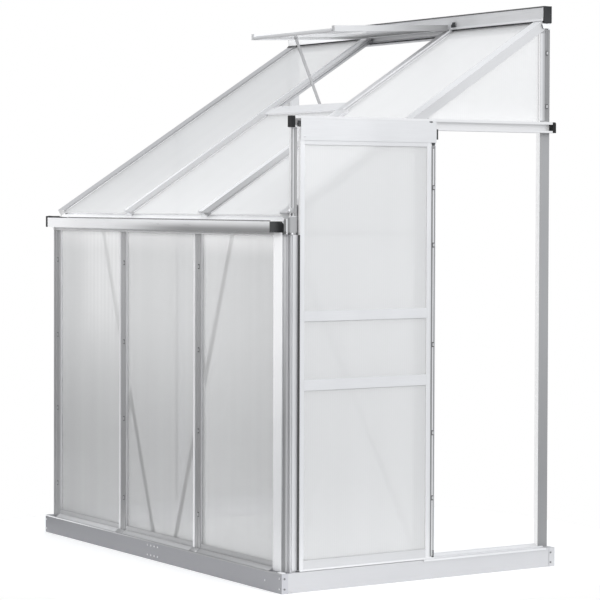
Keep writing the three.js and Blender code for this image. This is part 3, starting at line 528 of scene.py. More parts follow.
vent_cover = combine(vent_sheet_paint, "MULTIPLY", vent_alpha.links[0].from_socket,
                     ramp(vent_sheet_paint, to_wall, *vent_shade_span, 0.36, 1))
vent_sheet_paint.node_tree.links.new(vent_cover, vent_alpha)
dress(["gable_sheet_left_front", "gable_sheet_left_rear", "gable_sheet_right", "gable_sheet_over_door",
       "door_sheet_lower", "door_sheet_middle", "door_sheet_upper"], gable_sheet_paint)
dress(["roof_sheet_left", "roof_sheet_middle", "roof_sheet_right"], roof_sheet_paint)
dress(["vent_sheet"], vent_sheet_paint)


# Plastic caps and rollers: moulded black plastic with a fine satin grain.
def cap_finish(name, depth=1, shine=0.5):
    paint = bpy.data.materials.new(name)
    paint.use_nodes = True
    tree = paint.node_tree
    link = tree.links.new
    shader = tree.nodes["Principled BSDF"]
    place = node(tree, "ShaderNodeTexCoord", (-900, 0))
    grain = node(tree, "ShaderNodeTexNoise", (-700, 0))
    grain.inputs["Scale"].default_value = 900
    grain.inputs["Detail"].default_value = 2
    shade = node(tree, "ShaderNodeValToRGB", (-450, 120))
    shade.color_ramp.elements[0].color = (0.030 * depth, 0.031 * depth, 0.033 * depth, 1)
    shade.color_ramp.elements[1].color = (0.060 * depth, 0.062 * depth, 0.065 * depth, 1)
    relief = node(tree, "ShaderNodeBump", (-250, -200))
    relief.inputs["Distance"].default_value = 0.0001
    link(place.outputs["Object"], grain.inputs["Vector"])
    link(grain.outputs["Fac"], shade.inputs["Fac"])
    link(grain.outputs["Fac"], relief.inputs["Height"])
    link(shade.outputs[0], shader.inputs["Base Color"])
    link(relief.outputs[0], shader.inputs["Normal"])
    shader.inputs["Roughness"].default_value = 0.5
    shader.inputs["Specular IOR Level"].default_value = shine
    return paint


cap_plastic = cap_finish("black_moulding")
# The track caps are a darker copy of the black moulding, painted shade.
track_cap_plastic = cap_finish("track_cap_moulding", 0.45, 0.15)
dress(["gutter_cap_right", "door_roller_front", "door_roller_rear"], cap_plastic)
dress(["track_cap_front", "track_cap_rear"], track_cap_plastic)

# Base fittings: a rolled top edge on the front rails and pan-head screws through the folded corner
# tabs and through the joint near the middle, where the two halves of the front rail overlap.
mm = 0.001
base_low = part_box("base_front_rail_left")[0]
base_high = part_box("base_gable_rail_right")[1]
screw_radius = 3.9 * mm
screw_height = 1.7 * mm
screw_recess = 0.7 * mm
screw_sides = 12


def begin_box(name, low, high):
    bpy.ops.object.select_all(action="DESELECT")
    bpy.ops.mesh.primitive_cube_add(size=1, location=(Vector(low) + Vector(high)) / 2)
    piece = bpy.context.object
    piece.scale = Vector(high) - Vector(low)
    bpy.ops.object.transform_apply(location=True, rotation=True, scale=True)
    piece.name = name
    bpy.ops.object.mode_set(mode="EDIT")
    bpy.ops.mesh.select_mode(type="FACE")
    return piece


def begin_disc(name, radius, height, sides):
    bpy.ops.object.select_all(action="DESELECT")
    middle = (0, 0, height / 2)
    bpy.ops.mesh.primitive_cylinder_add(vertices=sides, radius=radius, depth=height, location=middle)
    piece = bpy.context.object
    bpy.ops.object.transform_apply(location=True, rotation=True, scale=True)
    piece.name = name
    bpy.ops.object.mode_set(mode="EDIT")
    bpy.ops.mesh.select_mode(type="FACE")
    return piece


def choose(piece, wanted):
    mesh = bmesh.from_edit_mesh(piece.data)
    bpy.ops.mesh.select_all(action="DESELECT")
    found = [face for face in mesh.faces if wanted(face.calc_center_median(), face.normal)]
    for face in found:
        face.select_set(True)
    bmesh.update_edit_mesh(piece.data)
    return len(found)


def push(move):
    bpy.ops.mesh.extrude_region_move(TRANSFORM_OT_translate={"value": move})


def slide(move):
    bpy.ops.transform.translate(value=move)


def cut_across(piece, place, normal):
    bpy.ops.mesh.select_all(action="SELECT")
    bpy.ops.mesh.bisect(plane_co=place, plane_no=normal)
    bpy.ops.mesh.select_mode(type="FACE")


def finish_piece(piece, paint, body, slot="aluminium", round_off=0.4 * mm, segments=1):
    bpy.ops.mesh.select_all(action="SELECT")
    bpy.ops.mesh.normals_make_consistent(inside=False)
    bpy.ops.object.mode_set(mode="OBJECT")
    if round_off:
        edge = piece.modifiers.new("softened_edges", "BEVEL")
        edge.width = round_off
        edge.segments = segments
        edge.limit_method = "ANGLE"
        bpy.ops.object.modifier_apply(modifier=edge.name)
    bpy.ops.object.shade_smooth_by_angle(angle=radians(35))
    piece.data.materials.append(paint)
    piece.data.name = piece.name
    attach(piece, body)
    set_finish(piece, slot)
    return piece


def seat(piece, place, turn=(0, 0, 0)):
    bpy.ops.object.mode_set(mode="OBJECT")
    piece.rotation_euler = turn
    piece.location = place
    bpy.ops.object.transform_apply(location=True, rotation=True, scale=True)
    bpy.ops.object.mode_set(mode="EDIT")


def repeat(piece, name, body, move=None, turn=None):
    again = bpy.data.objects.new(name, piece.data.copy())
    again.data.name = name
    bpy.context.scene.collection.objects.link(again)
    if turn is not None:
        again.data.transform(turn)
    if move is not None:
        again.data.transform(Matrix.Translation(Vector(move)))
    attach(again, body)
    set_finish(again, piece["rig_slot"])
    return again


fixing_zinc = metal_finish("zinc_fixing", "X", 0.84, 0.6, 0.3)
fixing_dull = metal_finish("dull_fixing", "Y", 0.24, 0.6, 0.4)
facing_front = Matrix.Rotation(radians(90), 4, "X")
facing_door = Matrix.Rotation(radians(90), 4, "Y")

screw = begin_disc("screw_pattern", screw_radius, screw_height, screw_sides)
choose(screw, lambda middle, normal: normal.z > 0.9)
bpy.ops.mesh.bevel(offset=0.8 * mm, segments=2)
choose(screw, lambda middle, normal: normal.z > 0.9)
bpy.ops.mesh.inset(thickness=screw_radius * 0.35)
push((0, 0, -screw_recess))
finish_piece(screw, fixing_zinc, "frame", "galvanised", round_off=0)


def place_screws(name, facing, places, body="frame", paint=fixing_zinc):
    for number, place in enumerate(places):
        made = repeat(screw, name + "_" + str(number + 1), body, move=place, turn=facing)
        made.data.materials[0] = paint


front_face = base_low.y - 0.1 * mm
door_face = base_high.x + 0.1 * mm
joint_columns = (-52 * mm, -24 * mm, 4 * mm, 31 * mm)
joint_rows = (57 * mm, 18 * mm)
tab_rows = (56 * mm, 17 * mm)
place_screws("joint_screw", facing_front, [(x, front_face, z) for x in joint_columns for z in joint_rows])
end_columns = (base_low.x + 10 * mm, base_high.x - 17 * mm)
side_columns = (base_low.y + 12 * mm, base_high.y - 21 * mm)
anchor_place = (base_high.x - 118 * mm, front_face, 37 * mm)
place_screws("front_end_screw", facing_front, [(x, front_face, z) for x in end_columns for z in tab_rows])
place_screws("door_side_screw", facing_door, [(door_face, y, z) for y in side_columns for z in tab_rows],
             paint=fixing_dull)
place_screws("front_anchor", facing_front, [anchor_place])

# The rolled edge is painted: a painted highlight glows at its left end, and it is painted darker towards the door,
# as shade.
edge_metal = metal_finish("galvanised_edge", "X", 0.92, 0.2, 0.4)
edge_shade_span = (-0.9, 0.1)
edge_glare_span = (-0.9, -0.4)
fade(edge_metal, to_door, *edge_shade_span, 1, 0.46)
glow(edge_metal, ramp(edge_metal, to_door, *edge_glare_span, 0.22, 0))
bead_height = 4.5 * mm
bead_depth = 1.4 * mm
bead = begin_box("base_front_edge", (base_low.x, front_face - bead_depth, base_high.z - bead_height),
                 (base_high.x, front_face, base_high.z))
choose(bead, lambda middle, normal: normal.z > 0.9)
slide((0, 0.6 * mm, 0))
finish_piece(bead, edge_metal, "frame", "galvanised", round_off=0.7 * mm, segments=2)

# Front wall: the two bars between the sheets have a raised rib, a lip and a narrow cover over their
# left edge, and the left corner post has three ribs. The door corner has a flat face with a low lip
# along both edges, painted bright as a glare.
strip_gap = 0.3 * mm
strip_base = 0.8 * mm


def banded_strip(name, low, high, out, across, bands, paint, body, slot="aluminium"):
    """A flat strip cut along its length, with each chosen band of its face drawn out by a height."""
    piece = begin_box(name, low, high)
    out = Vector(out)
    across = Vector(across)
    start = min(Vector(low).dot(across), Vector(high).dot(across))
    face_level = max(Vector(low).dot(out), Vector(high).dot(out))
    for first, last, height in bands:
        for edge in (first, last):
            cut_across(piece, across * (start + edge), across)
    for first, last, height in bands:
        choose(piece, lambda middle, normal: normal.dot(out) > 0.9
               and first < middle.dot(across) - start < last
               and abs(middle.dot(out) - face_level) < 0.05 * mm)
        push(out * height)
    return finish_piece(piece, paint, body, slot, round_off=0.35 * mm)


bar_bands = ((22 * mm, 33 * mm, 1.8 * mm), (50 * mm, 55.5 * mm, 1.2 * mm))
post_bands = ((0.5 * mm, 6 * mm, 1.4 * mm), (18 * mm, 24 * mm, 1.6 * mm), (44 * mm, 50 * mm, 1.4 * mm))
corner_bands = ((0.5 * mm, 5 * mm, 0.8 * mm), (52 * mm, 57 * mm, 0.8 * mm))
# The bar faces are painted darker towards the bottom, as shade.
bar_face_metal = metal_finish("pressed_bar_face", "Z", 0.60, 0.45, 0.34)
bar_face_span = (0.15, 1.1)
fade(bar_face_metal, upward, *bar_face_span, 0.72, 1.0)
# The door corner's face is painted glare: it glows, more towards the top, and is darker lower down.
corner_glare_face = metal_finish("corner_face_painted_glare", "Z", 0.97, 0.0, 0.3)
bright_face_span = (0.1, 1.15)
fade(corner_glare_face, upward, *bright_face_span, 0.80, 1)
glow(corner_glare_face, ramp(corner_glare_face, upward, *bright_face_span, 0.02, 0.2))
sill_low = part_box("front_sill")[0]
bar_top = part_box("front_bar_left")[1].z - 1 * mm


def front_strip(upright, name, bands, paint, forward=strip_gap, top=bar_top):
    strip_low, strip_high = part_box(upright)
    low = (strip_low.x + 0.5 * mm, strip_low.y - forward - strip_base, sill_low.z + 1 * mm)
    high = (strip_high.x - 0.5 * mm, strip_low.y - forward, top)
    return banded_strip(name, low, high, to_front, to_door, bands, paint, "frame")


front_strip("front_bar_left", "front_bar_left_face", bar_bands, bar_face_metal)
front_strip("front_bar_right", "front_bar_right_face", bar_bands, bar_face_metal)
post_face_metal = metal_finish("pressed_post_face", "Z", 0.54, 0.45, 0.34)
front_strip("corner_post_left", "corner_post_left_face", post_bands, post_face_metal)
# Each cover is painted lighter than its bar, the right one most, as the highlight along the bar's left edge.
cover_wide = 13 * mm
for bar_name, tone in (("front_bar_left", 0.84), ("front_bar_right", 0.97)):
    bar_low, bar_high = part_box(bar_name)
    cover_face = bar_low.y - strip_gap - strip_base
    cover_paint = metal_finish(bar_name + "_cover_paint", "Z", tone, 0.15, 0.36)
    banded_strip(bar_name + "_cover", (bar_low.x + 1 * mm, cover_face - 2 * mm, sill_low.z + 2 * mm),
                 (bar_low.x + 1 * mm + cover_wide, cover_face - 0.2 * mm, bar_high.z - 2 * mm), to_front,
                 to_door, ((2 * mm, 8 * mm, 0.6 * mm),), cover_paint, "frame")
front_strip("corner_post_right", "corner_post_right_face", corner_bands, corner_glare_face, 3.3 * mm,
            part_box("gutter_cap_right")[0].z - 0.5 * mm)

# Door corner: ribs pressed in the side of the corner post, and a light channel beside them, which is
# taken to guide the door. Above the gutter the channel shows two grooves, painted dark as shade.
post_low, post_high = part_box("corner_post_right")
upright_low, upright_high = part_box("track_upright")
trough_low, trough_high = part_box("gutter_cap_right")
eave_top = trough_high.z
groove_metal = metal_finish("shaded_groove", "Z", 0.42, 0.4, 0.5)
side_metal = metal_finish("corner_side", "Z", 0.60, 0.4, 0.45)
light_channel = metal_finish("light_channel", "Z", 0.78, 0.3, 0.4)
channel_depth = 5 * mm
# The fold is painted darker towards the bottom, as shade.
fold_shade = metal_finish("corner_fold", "Z", 0.62, 0.4, 0.45)
fold_shade_span = (0.5, 1.3)
fade(fold_shade, upward, *fold_shade_span, 0.45, 1)
fold_wide = 12 * mm
side_top = eave_top - 50 * mm
banded_strip("corner_post_right_fold", (post_high.x + strip_gap, post_low.y + 1 * mm, post_low.z + 1 * mm),
             (post_high.x + strip_gap + strip_base, post_low.y + fold_wide, side_top), to_door, to_wall,
             ((2 * mm, 6 * mm, 1 * mm),), fold_shade, "frame")
banded_strip("corner_post_right_side",
             (post_high.x + strip_gap, post_low.y + fold_wide + 0.5 * mm, post_low.z + 1 * mm),
             (post_high.x + strip_gap + strip_base, upright_low.y - 1 * mm, side_top), to_door, to_wall,
             ((3 * mm, 6 * mm, 1.2 * mm),), side_metal, "frame")
channel_x = upright_high.x + strip_gap
banded_strip("door_guide_channel", (channel_x, upright_low.y + 5 * mm, upright_low.z + 6 * mm),
             (channel_x + channel_depth, upright_high.y + 2.4 * mm, side_top), to_door, to_wall,
             ((1 * mm, 3 * mm, 0.1 * mm),), light_channel, "frame")
for number, (first, last) in enumerate(((0 * mm, 7 * mm), (12 * mm, 24 * mm))):
    banded_strip("upright_groove_" + str(number + 1), (channel_x, upright_low.y + first, eave_top + 20 * mm),
                 (channel_x + strip_base, upright_low.y + last, upright_high.z - 4 * mm), to_door, to_wall,
                 ((2 * mm, 4 * mm, 0.6 * mm),), groove_metal, "frame")

# Glazing clips: small dark marks on the front bars, the rear post and the door's rear stile are taken
# to be pressed spring clips on a dark gasket that hold the sheets, two to five to a bar.
clip_wide = 7 * mm
clip_high = 11 * mm
clip_thick = 1.3 * mm
clip_heights = (222 * mm, 552 * mm, 872 * mm, 1200 * mm)
clip = begin_box("clip_pattern", (-clip_wide / 2, -clip_thick, -clip_high / 2),
                 (clip_wide / 2, 0, clip_high / 2))
choose(clip, lambda middle, normal: normal.y < -0.9)
bpy.ops.mesh.inset(thickness=2.2 * mm)
push((0, 0.7 * mm, 0))
choose(clip, lambda middle, normal: abs(normal.z) > 0.9 and abs(middle.z) > clip_high * 0.4)
bpy.ops.mesh.inset(thickness=0.5 * mm)
push((0, 0, 0))
clip_metal = metal_finish("spring_clip", "Z", 0.62, 0.5, 0.35)
clip_shade = metal_finish("clip_gasket", "Z", 0.12, 0, 0.6)
finish_piece(clip, clip_metal, "frame", round_off=0.3 * mm)
gasket_wide = 11 * mm
gasket_high = 19 * mm
gasket_thick = 0.8 * mm
gasket = begin_box("gasket_pattern", (-gasket_wide / 2, -gasket_thick, -gasket_high / 2),
                   (gasket_wide / 2, 0, gasket_high / 2))
choose(gasket, lambda middle, normal: normal.y < -0.9)
bpy.ops.mesh.inset(thickness=1.2 * mm)
push((0, 0.3 * mm, 0))
finish_piece(gasket, clip_shade, "frame", "cap", round_off=0.3 * mm)


def place_clip(name, body, place, turn, outward):
    repeat(gasket, name + "_gasket", body, move=place, turn=turn)
    repeat(clip, name, body, move=Vector(place) + Vector(outward) * (gasket_thick + 0.1 * mm), turn=turn)


clip_turn = Matrix.Rotation(radians(90), 4, "Z")
clip_places = []
clip_offsets = (("front_bar_left", 13 * mm), ("front_bar_right", 12 * mm), ("corner_post_left", 8 * mm))
for upright, offset in clip_offsets:
    upright_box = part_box(upright)
    clip_x = (upright_box[0].x + upright_box[1].x) / 2 + offset
    clip_y = upright_box[0].y - strip_gap - strip_base
    clip_places += [(upright, (clip_x, clip_y, height)) for height in clip_heights]
for number, (upright, place) in enumerate(clip_places):
    place_clip("clip_" + upright + "_" + str(number + 1), "frame", place, None, to_front)
rear_low, rear_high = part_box("wall_post_right")
rear_face = (rear_high.x + strip_gap + strip_base + 1.2 * mm, rear_low.y + 32 * mm)
rear_clip_heights = (1839 * mm, 2052 * mm)
for number, height in enumerate(rear_clip_heights):
    place_clip("rear_post_clip_" + str(number + 1), "frame", (*rear_face, height), clip_turn, to_door)
stile_low, stile_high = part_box("door_stile_rear")
stile_face = (stile_high.x + strip_gap + strip_base + 0.9 * mm, stile_low.y + 29 * mm)
door_clip_heights = (314 * mm, 566 * mm, 907 * mm, 1291 * mm, 1512 * mm)
for number, height in enumerate(door_clip_heights):
    place_clip("door_clip_" + str(number + 1), "door", (*stile_face, height), clip_turn, to_door)
bpy.data.objects.remove(clip)
bpy.data.objects.remove(gasket)

# Eave: the gutter's left end plug, made a little taller than the right one to suit the photograph, a
# thin black strip along the left end of its lip, a dark strip inside its lip that is painted shadow,
# the narrow fascia under it, which glows as painted light, and the folded plate with its bolts that
# is taken to tie gutter, corner post and end rafter together.
gutter_low, gutter_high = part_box("eave_gutter")
gutter_shadow_metal = metal_finish("gutter_painted_shadow", "X", 0.22, 0.3, 0.5)
cap_low, cap_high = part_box("gutter_cap_right")
plug_thick = 18.8 * mm
plug_rise = 7 * mm
plug = begin_box("gutter_cap_left", (gutter_low.x - strip_gap - plug_thick, cap_low.y, cap_low.z),
                 (gutter_low.x - strip_gap, cap_high.y, cap_high.z + plug_rise))
choose(plug, lambda middle, normal: abs(normal.x) > 0.9)
bpy.ops.mesh.inset(thickness=4 * mm)
push((0, 0, 0))
finish_piece(plug, cap_plastic, "frame", "cap", round_off=4 * mm, segments=3)
lip_strip_reach = 180 * mm
shadow_strip_rise = 4.6 * mm
lip_dark_strip = begin_box("gutter_lip_dark_strip", (gutter_low.x, gutter_low.y + 3.3 * mm, eave_top - 6 * mm),
                     (gutter_low.x + lip_strip_reach, gutter_low.y + 5.6 * mm, eave_top + 8.5 * mm))
choose(lip_dark_strip, lambda middle, normal: normal.x > 0.9)
bpy.ops.transform.resize(value=(1, 0.5, 0.3))
finish_piece(lip_dark_strip, cap_plastic, "frame", "cap", round_off=0.4 * mm)
# A dark strip just behind the lip is painted shadow, standing for the shade inside the gutter.
inner_low = (gutter_low.x + lip_strip_reach + 5 * mm, gutter_low.y + 3.3 * mm, eave_top - 6 * mm)
inner_high = (gutter_high.x - 1 * mm, gutter_low.y + 5 * mm, eave_top + shadow_strip_rise)
inner_shadow_strip = begin_box("gutter_inner_shadow_strip", inner_low, inner_high)
choose(inner_shadow_strip, lambda middle, normal: normal.z > 0.9)
bpy.ops.transform.resize(value=(1, 0.4, 1))
finish_piece(inner_shadow_strip, gutter_shadow_metal, "frame", round_off=0.2 * mm)
# The fascia glows a little, as painted light in the shade under the gutter.
fascia_metal = metal_finish("eave_fascia", "X", 0.90, 0.1, 0.4)
glow(fascia_metal, 0.12)
front_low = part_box("front_bar_left")[0]
fascia_y = front_low.y - 3 * mm
fascia_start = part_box("corner_post_left")[0].x + 1 * mm
banded_strip("eave_fascia", (fascia_start, fascia_y - 1.4 * mm, gutter_low.z - 3 * mm),
             (post_low.x - 1 * mm, fascia_y - 0.4 * mm, trough_low.z - 0.4 * mm), to_front, upward,
             ((2 * mm, 4 * mm, 0.8 * mm),), fascia_metal, "frame")

frame_shift = 638.5 * mm
lip_metal = metal_finish("ridge_lip_bright", "X", 0.97, 0.1, 0.35)
gusset_low = trough_low.z - 8 * mm
gusset_high = eave_top + 17 * mm
gusset_front = post_low.y - 7 * mm
gusset_back = upright_high.y + 8 * mm
gusset_thick = 1.2 * mm
gusset_metal = metal_finish("gusset_plate", "Z", 0.44, 0.4, 0.45)
gusset_bands = ((1 * mm, 7 * mm, 0.5 * mm), (9 * mm, 15 * mm, 1.2 * mm), (27 * mm, 58 * mm, 0.8 * mm))
banded_strip("corner_gusset", (channel_x, gusset_front, gusset_low),
             (channel_x + gusset_thick, gusset_back, gusset_high), to_door, to_wall, gusset_bands,
             gusset_metal, "frame")
rib_x = channel_x + gusset_thick + 0.3 * mm
rib_thick = 1.6 * mm
# The ribs' tones are painted shade on three of them and a painted highlight on the light one.
rib_spans = (("gusset_rib_front", 0.5, 7, 0.22), ("gusset_rib_light", 9.5, 14.5, 0.90),
             ("gusset_rib_middle", 17, 25, 0.30), ("gusset_rib_back", 60, 66, 0.24))
for name, first, last, tone in rib_spans:
    rib_top = gusset_high - 2 * mm - abs(last - 30) * 0.3 * mm
    rib_paint = metal_finish(name + "_paint", "Z", tone, 0.3, 0.45)
    banded_strip(name, (rib_x, gusset_front + first * mm, gusset_low + 2 * mm),
                 (rib_x + rib_thick, gusset_front + last * mm, rib_top), to_door, to_wall,
                 ((1 * mm, 3 * mm, 0.3 * mm),), rib_paint, "frame")
hood_low = (channel_x, gusset_front + 14 * mm, gusset_high + 14 * mm)
hood_high = (channel_x + 3 * mm, gusset_front + 48 * mm, gusset_high + 34 * mm)
hood = begin_box("corner_hood", hood_low, hood_high)
choose(hood, lambda middle, normal: normal.z > 0.9)
bpy.ops.transform.resize(value=(1, 0.55, 1))
finish_piece(hood, gusset_metal, "frame", round_off=1.2 * mm, segments=2)

bolt = begin_disc("bolt_pattern", 5 * mm, 2 * mm, 6)
choose(bolt, lambda middle, normal: normal.z > 0.9)
bpy.ops.mesh.inset(thickness=1.6 * mm)
push((0, 0, 0.9 * mm))
finish_piece(bolt, clip_shade, "frame", round_off=0.3 * mm)
bolt_x = rib_x + 2.1 * mm
bolt_places = ((21 * mm, 1343 * mm), (39 * mm, 1338 * mm), (74.5 * mm, 1338 * mm), (49 * mm, 1410 * mm))
nut_places = ((51 * mm, 1337 * mm), (37 * mm, 1424 * mm))
for number, (bolt_y, bolt_z) in enumerate(bolt_places):
    repeat(bolt, "corner_bolt_" + str(number + 1), "frame",
           move=(bolt_x, bolt_y - frame_shift, bolt_z), turn=facing_door)
light_bolt = begin_disc("light_bolt_pattern", 4.5 * mm, 2 * mm, 8)
choose(light_bolt, lambda middle, normal: normal.z > 0.9)
bpy.ops.mesh.inset(thickness=1.2 * mm)
push((0, 0, 0.6 * mm))
finish_piece(light_bolt, lip_metal, "frame", round_off=0.3 * mm)
for number, (bolt_y, bolt_z) in enumerate(nut_places):
    repeat(light_bolt, "corner_nut_" + str(number + 1), "frame",
           move=(bolt_x + 1 * mm, bolt_y - frame_shift, bolt_z), turn=facing_door)
bpy.data.objects.remove(light_bolt)

# Roof bars: each is taken to have a pressed cap that folds down over the sheet on its right, onto a
# grey rubber strip. The caps stand to the right of their bars, each by its own step, where the
# photograph shows them, so they are not alike as real ones would be.
roof_foot_height = 1389 * mm
roof_foot = Vector((0, base_low.y, roof_foot_height))
roof_bar_span = (-0.60, 0.30)
roof_start = 52 * mm
cap_start = 42 * mm
roof_end = 1470 * mm
sheet_top = -8.2 * mm
rubber = cap_finish("dark_rubber")
soft_seal = metal_finish("grey_seal", "roof", 0.80, 0, 0.6)
# The bar edges above the vent are painted darker towards the eave, as shade.
roof_edge_metal = metal_finish("roof_bar_edge", "roof", 0.97, 0.2, 0.38)
fade(roof_edge_metal, to_wall, *roof_bar_span, 0.56, 0.92)
# The lip is the bar's exposed left edge, painted light as the highlight along it.
roof_lip_highlight = metal_finish("roof_bar_lip_highlight", "roof", 0.83, 0, 0.4)


def roof_strip(name, x_low, x_high, start, end, off_low, off_high, bands, paint, slot="aluminium"):
    piece = begin_box(name, (x_low, start, off_low), (x_high, end, off_high))
    for first, last, height in bands:
        for edge in (first, last):
            cut_across(piece, (x_low + edge, 0, 0), to_door)
    for first, last, height in bands:
        choose(piece, lambda middle, normal: normal.z > 0.9 and first < middle.x - x_low < last)
        push((0, 0, height))
    seat(piece, roof_foot, (roof_angle, 0, 0))
    return finish_piece(piece, paint, "frame", slot, round_off=0.3 * mm)


vent_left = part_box("vent_side_bar_left")[0].x - 1.2 * mm
vent_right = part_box("vent_side_bar_right")[1].x + 1.2 * mm
vent_foot = 824 * mm


def roof_cap(name, x_low, x_high, leg_from, paint):
    """A flat cap whose right part, past the bar, is drawn down to the sheet as one folded leg."""
    piece = begin_box(name, (x_low, cap_start, strip_gap), (x_high, vent_foot, strip_gap + strip_base))
    for cut in (x_low + 3 * mm, x_low + 6 * mm, leg_from):
        cut_across(piece, (cut, 0, 0), to_door)
    choose(piece, lambda middle, normal: normal.z > 0.9 and x_low + 3 * mm < middle.x < x_low + 6 * mm)
    push((0, 0, 0.8 * mm))
    choose(piece, lambda middle, normal: normal.z < -0.9 and middle.x > leg_from)
    push((0, 0, sheet_top))
    seat(piece, roof_foot, (roof_angle, 0, 0))
    return finish_piece(piece, paint, "frame", round_off=0.3 * mm)


# Each cap is painted darker towards the eave, by its own shares, and on its faces towards the door, as shade.
roof_caps = (("roof_bar_left", 20 * mm, 0.62, 0.745, 0.82), ("roof_bar_right", 33 * mm, 0.454, 0.94, 0.90))
for bar_name, cap_shift, low_share, high_share, side_share in roof_caps:
    bar_low, bar_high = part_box(bar_name)
    cap_metal = metal_finish(bar_name + "_cap_paint", "roof", 0.97, 0.2, 0.38)
    fade(cap_metal, to_wall, *roof_bar_span, low_share, high_share)
    shade_faces(cap_metal, to_door, side_share)
    cap_start_x = bar_low.x + cap_shift
    cap_end_x = bar_high.x + cap_shift
    roof_cap(bar_name + "_cap", cap_start_x, cap_end_x, bar_high.x + 1 * mm, cap_metal)
    roof_strip(bar_name + "_lip", bar_low.x + 0.5 * mm, cap_start_x - 0.5 * mm, roof_start, vent_foot,
               strip_gap, strip_gap + strip_base, ((1 * mm, 4 * mm, 1 * mm),), roof_lip_highlight)
    seal_x = cap_end_x + 0.4 * mm
    roof_strip(bar_name + "_foot_seal", seal_x, seal_x + 2 * mm, roof_start, vent_foot, sheet_top + 0.2 * mm,
               sheet_top + 2.6 * mm, ((0.8 * mm, 1.4 * mm, 0.4 * mm),), soft_seal, "cap")
    outer_low = bar_low.x + 0.5 * mm if bar_low.x < 0 else vent_right
    outer_high = vent_left if bar_low.x < 0 else bar_high.x - 0.5 * mm
    roof_strip(bar_name + "_edge", outer_low, outer_high, vent_foot + 1 * mm, roof_end, strip_gap,
               strip_gap + strip_base, ((1.5 * mm, 5 * mm, 2 * mm),), roof_edge_metal)
    roof_strip(bar_name + "_seal", bar_high.x + 0.4 * mm, bar_high.x + 2.4 * mm, vent_foot + 1 * mm,
               roof_end - 20 * mm, sheet_top, sheet_top + 2.6 * mm,
               ((0.8 * mm, 1.4 * mm, 0.4 * mm),), soft_seal, "cap")
rafter_low, rafter_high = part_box("gable_rafter_left")
roof_strip("gable_rafter_left_seal", rafter_high.x + 0.4 * mm, rafter_high.x + 2 * mm, roof_start + 8 * mm,
           roof_end - 20 * mm, sheet_top, sheet_top + 2 * mm, ((0.5 * mm, 1 * mm, 0.3 * mm),),
           soft_seal, "cap")
roof_strip("rafter_top_seal", rafter_low.x + 1 * mm, rafter_high.x - 1 * mm, roof_end - 11 * mm, roof_end,
           strip_gap, strip_gap + strip_base, ((2 * mm, 30 * mm, 1.6 * mm),), rubber, "cap")

# Ridge: the wall plate shows a dark strip along its top, painted as the shadow along its top edge, a
# bright lip above the roof, made taller left of the vent to suit the photograph and glowing there as
# painted light, and a dark line at the sheets, taken to be rubber. Black caps close its ends, and a
# black plug ends the vent's hinge.
plate_low, plate_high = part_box("wall_plate")
ridge_front = plate_low.y - strip_gap
top_shadow_high = 5.5 * mm
top_shadow_metal = metal_finish("ridge_top_shadow_paint", "X", 0.16, 0.3, 0.5)
banded_strip("ridge_top_shadow_strip", (plate_low.x, ridge_front - 1 * mm, plate_high.z - top_shadow_high),
             (plate_high.x, ridge_front, plate_high.z), to_front, upward, ((1 * mm, 2 * mm, 0.5 * mm),),
             top_shadow_metal, "frame")
lip_low = 2179.6 * mm
lip_tall = 9 * mm
left_lip_tall = 32 * mm
lip_reach = 4 * mm
# The lip left of the vent glows, as painted light where the vent shades it.
far_lip_metal = metal_finish("ridge_lip_far", "X", 0.97, 0, 0.35)
glow(far_lip_metal, 0.34)
vent_low, vent_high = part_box("vent_hinge_rail")
bar_edges = [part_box("gable_rafter_left")[1].x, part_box("roof_bar_left")[0].x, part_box("roof_bar_left")[1].x,
             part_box("roof_bar_right")[0].x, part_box("roof_bar_right")[1].x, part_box("gable_rafter_right")[0].x]
lip_spans = ((plate_low.x, vent_low.x - 4 * mm), (vent_high.x + 4 * mm, plate_high.x))
for number, (start, end) in enumerate(lip_spans):
    lip = begin_box("ridge_lip_" + str(number + 1), (start, ridge_front - lip_reach, lip_low),
                    (end, ridge_front, lip_low + (lip_tall if number else left_lip_tall)))
    choose(lip, lambda middle, normal: normal.z > 0.9)
    bpy.ops.transform.resize(value=(1, 0.4, 1))
    slide((0, 1 * mm, 0))
    finish_piece(lip, lip_metal if number else far_lip_metal, "frame", round_off=0.6 * mm, segments=2)
for number, (start, end) in enumerate(((bar_edges[0], bar_edges[1]), (bar_edges[4], bar_edges[5]))):
    seal_low = (start + 4 * mm, ridge_front - lip_reach, lip_low - 6 * mm)
    seal_high = (end - 1 * mm, ridge_front, lip_low - 0.6 * mm)
    seal = begin_box("ridge_seal_" + str(number + 1), seal_low, seal_high)
    choose(seal, lambda middle, normal: normal.y < -0.9)
    bpy.ops.mesh.inset(thickness=1.5 * mm)
    push((0, 0.8 * mm, 0))
    finish_piece(seal, rubber, "frame", "cap", round_off=0.6 * mm)
opening_seal_low = (bar_edges[2] + 1 * mm, ridge_front - 1.5 * mm, plate_low.z + 4 * mm)
opening_seal_high = (bar_edges[3] - 1 * mm, ridge_front, plate_low.z + 9.5 * mm)
opening_seal = begin_box("opening_seal", opening_seal_low, opening_seal_high)
choose(opening_seal, lambda middle, normal: normal.y < -0.9)
bpy.ops.mesh.inset(thickness=1.5 * mm)
push((0, 0.5 * mm, 0))
finish_piece(opening_seal, rubber, "frame", "cap", round_off=0.3 * mm)
hinge_plug_low = 2188 * mm
hinge_plug_high = 2200 * mm
hinge_plug = begin_box("hinge_end_plug", (bar_edges[4] + 6 * mm, ridge_front - 12 * mm, hinge_plug_low),
                       (bar_edges[4] + 30 * mm, ridge_front - 5 * mm, hinge_plug_high))
choose(hinge_plug, lambda middle, normal: normal.z > 0.9)
bpy.ops.mesh.inset(thickness=2 * mm)
push((4 * mm, 0, 9 * mm))
finish_piece(hinge_plug, cap_plastic, "frame", "cap", round_off=1 * mm, segments=2)
cap_thick = 5.5 * mm
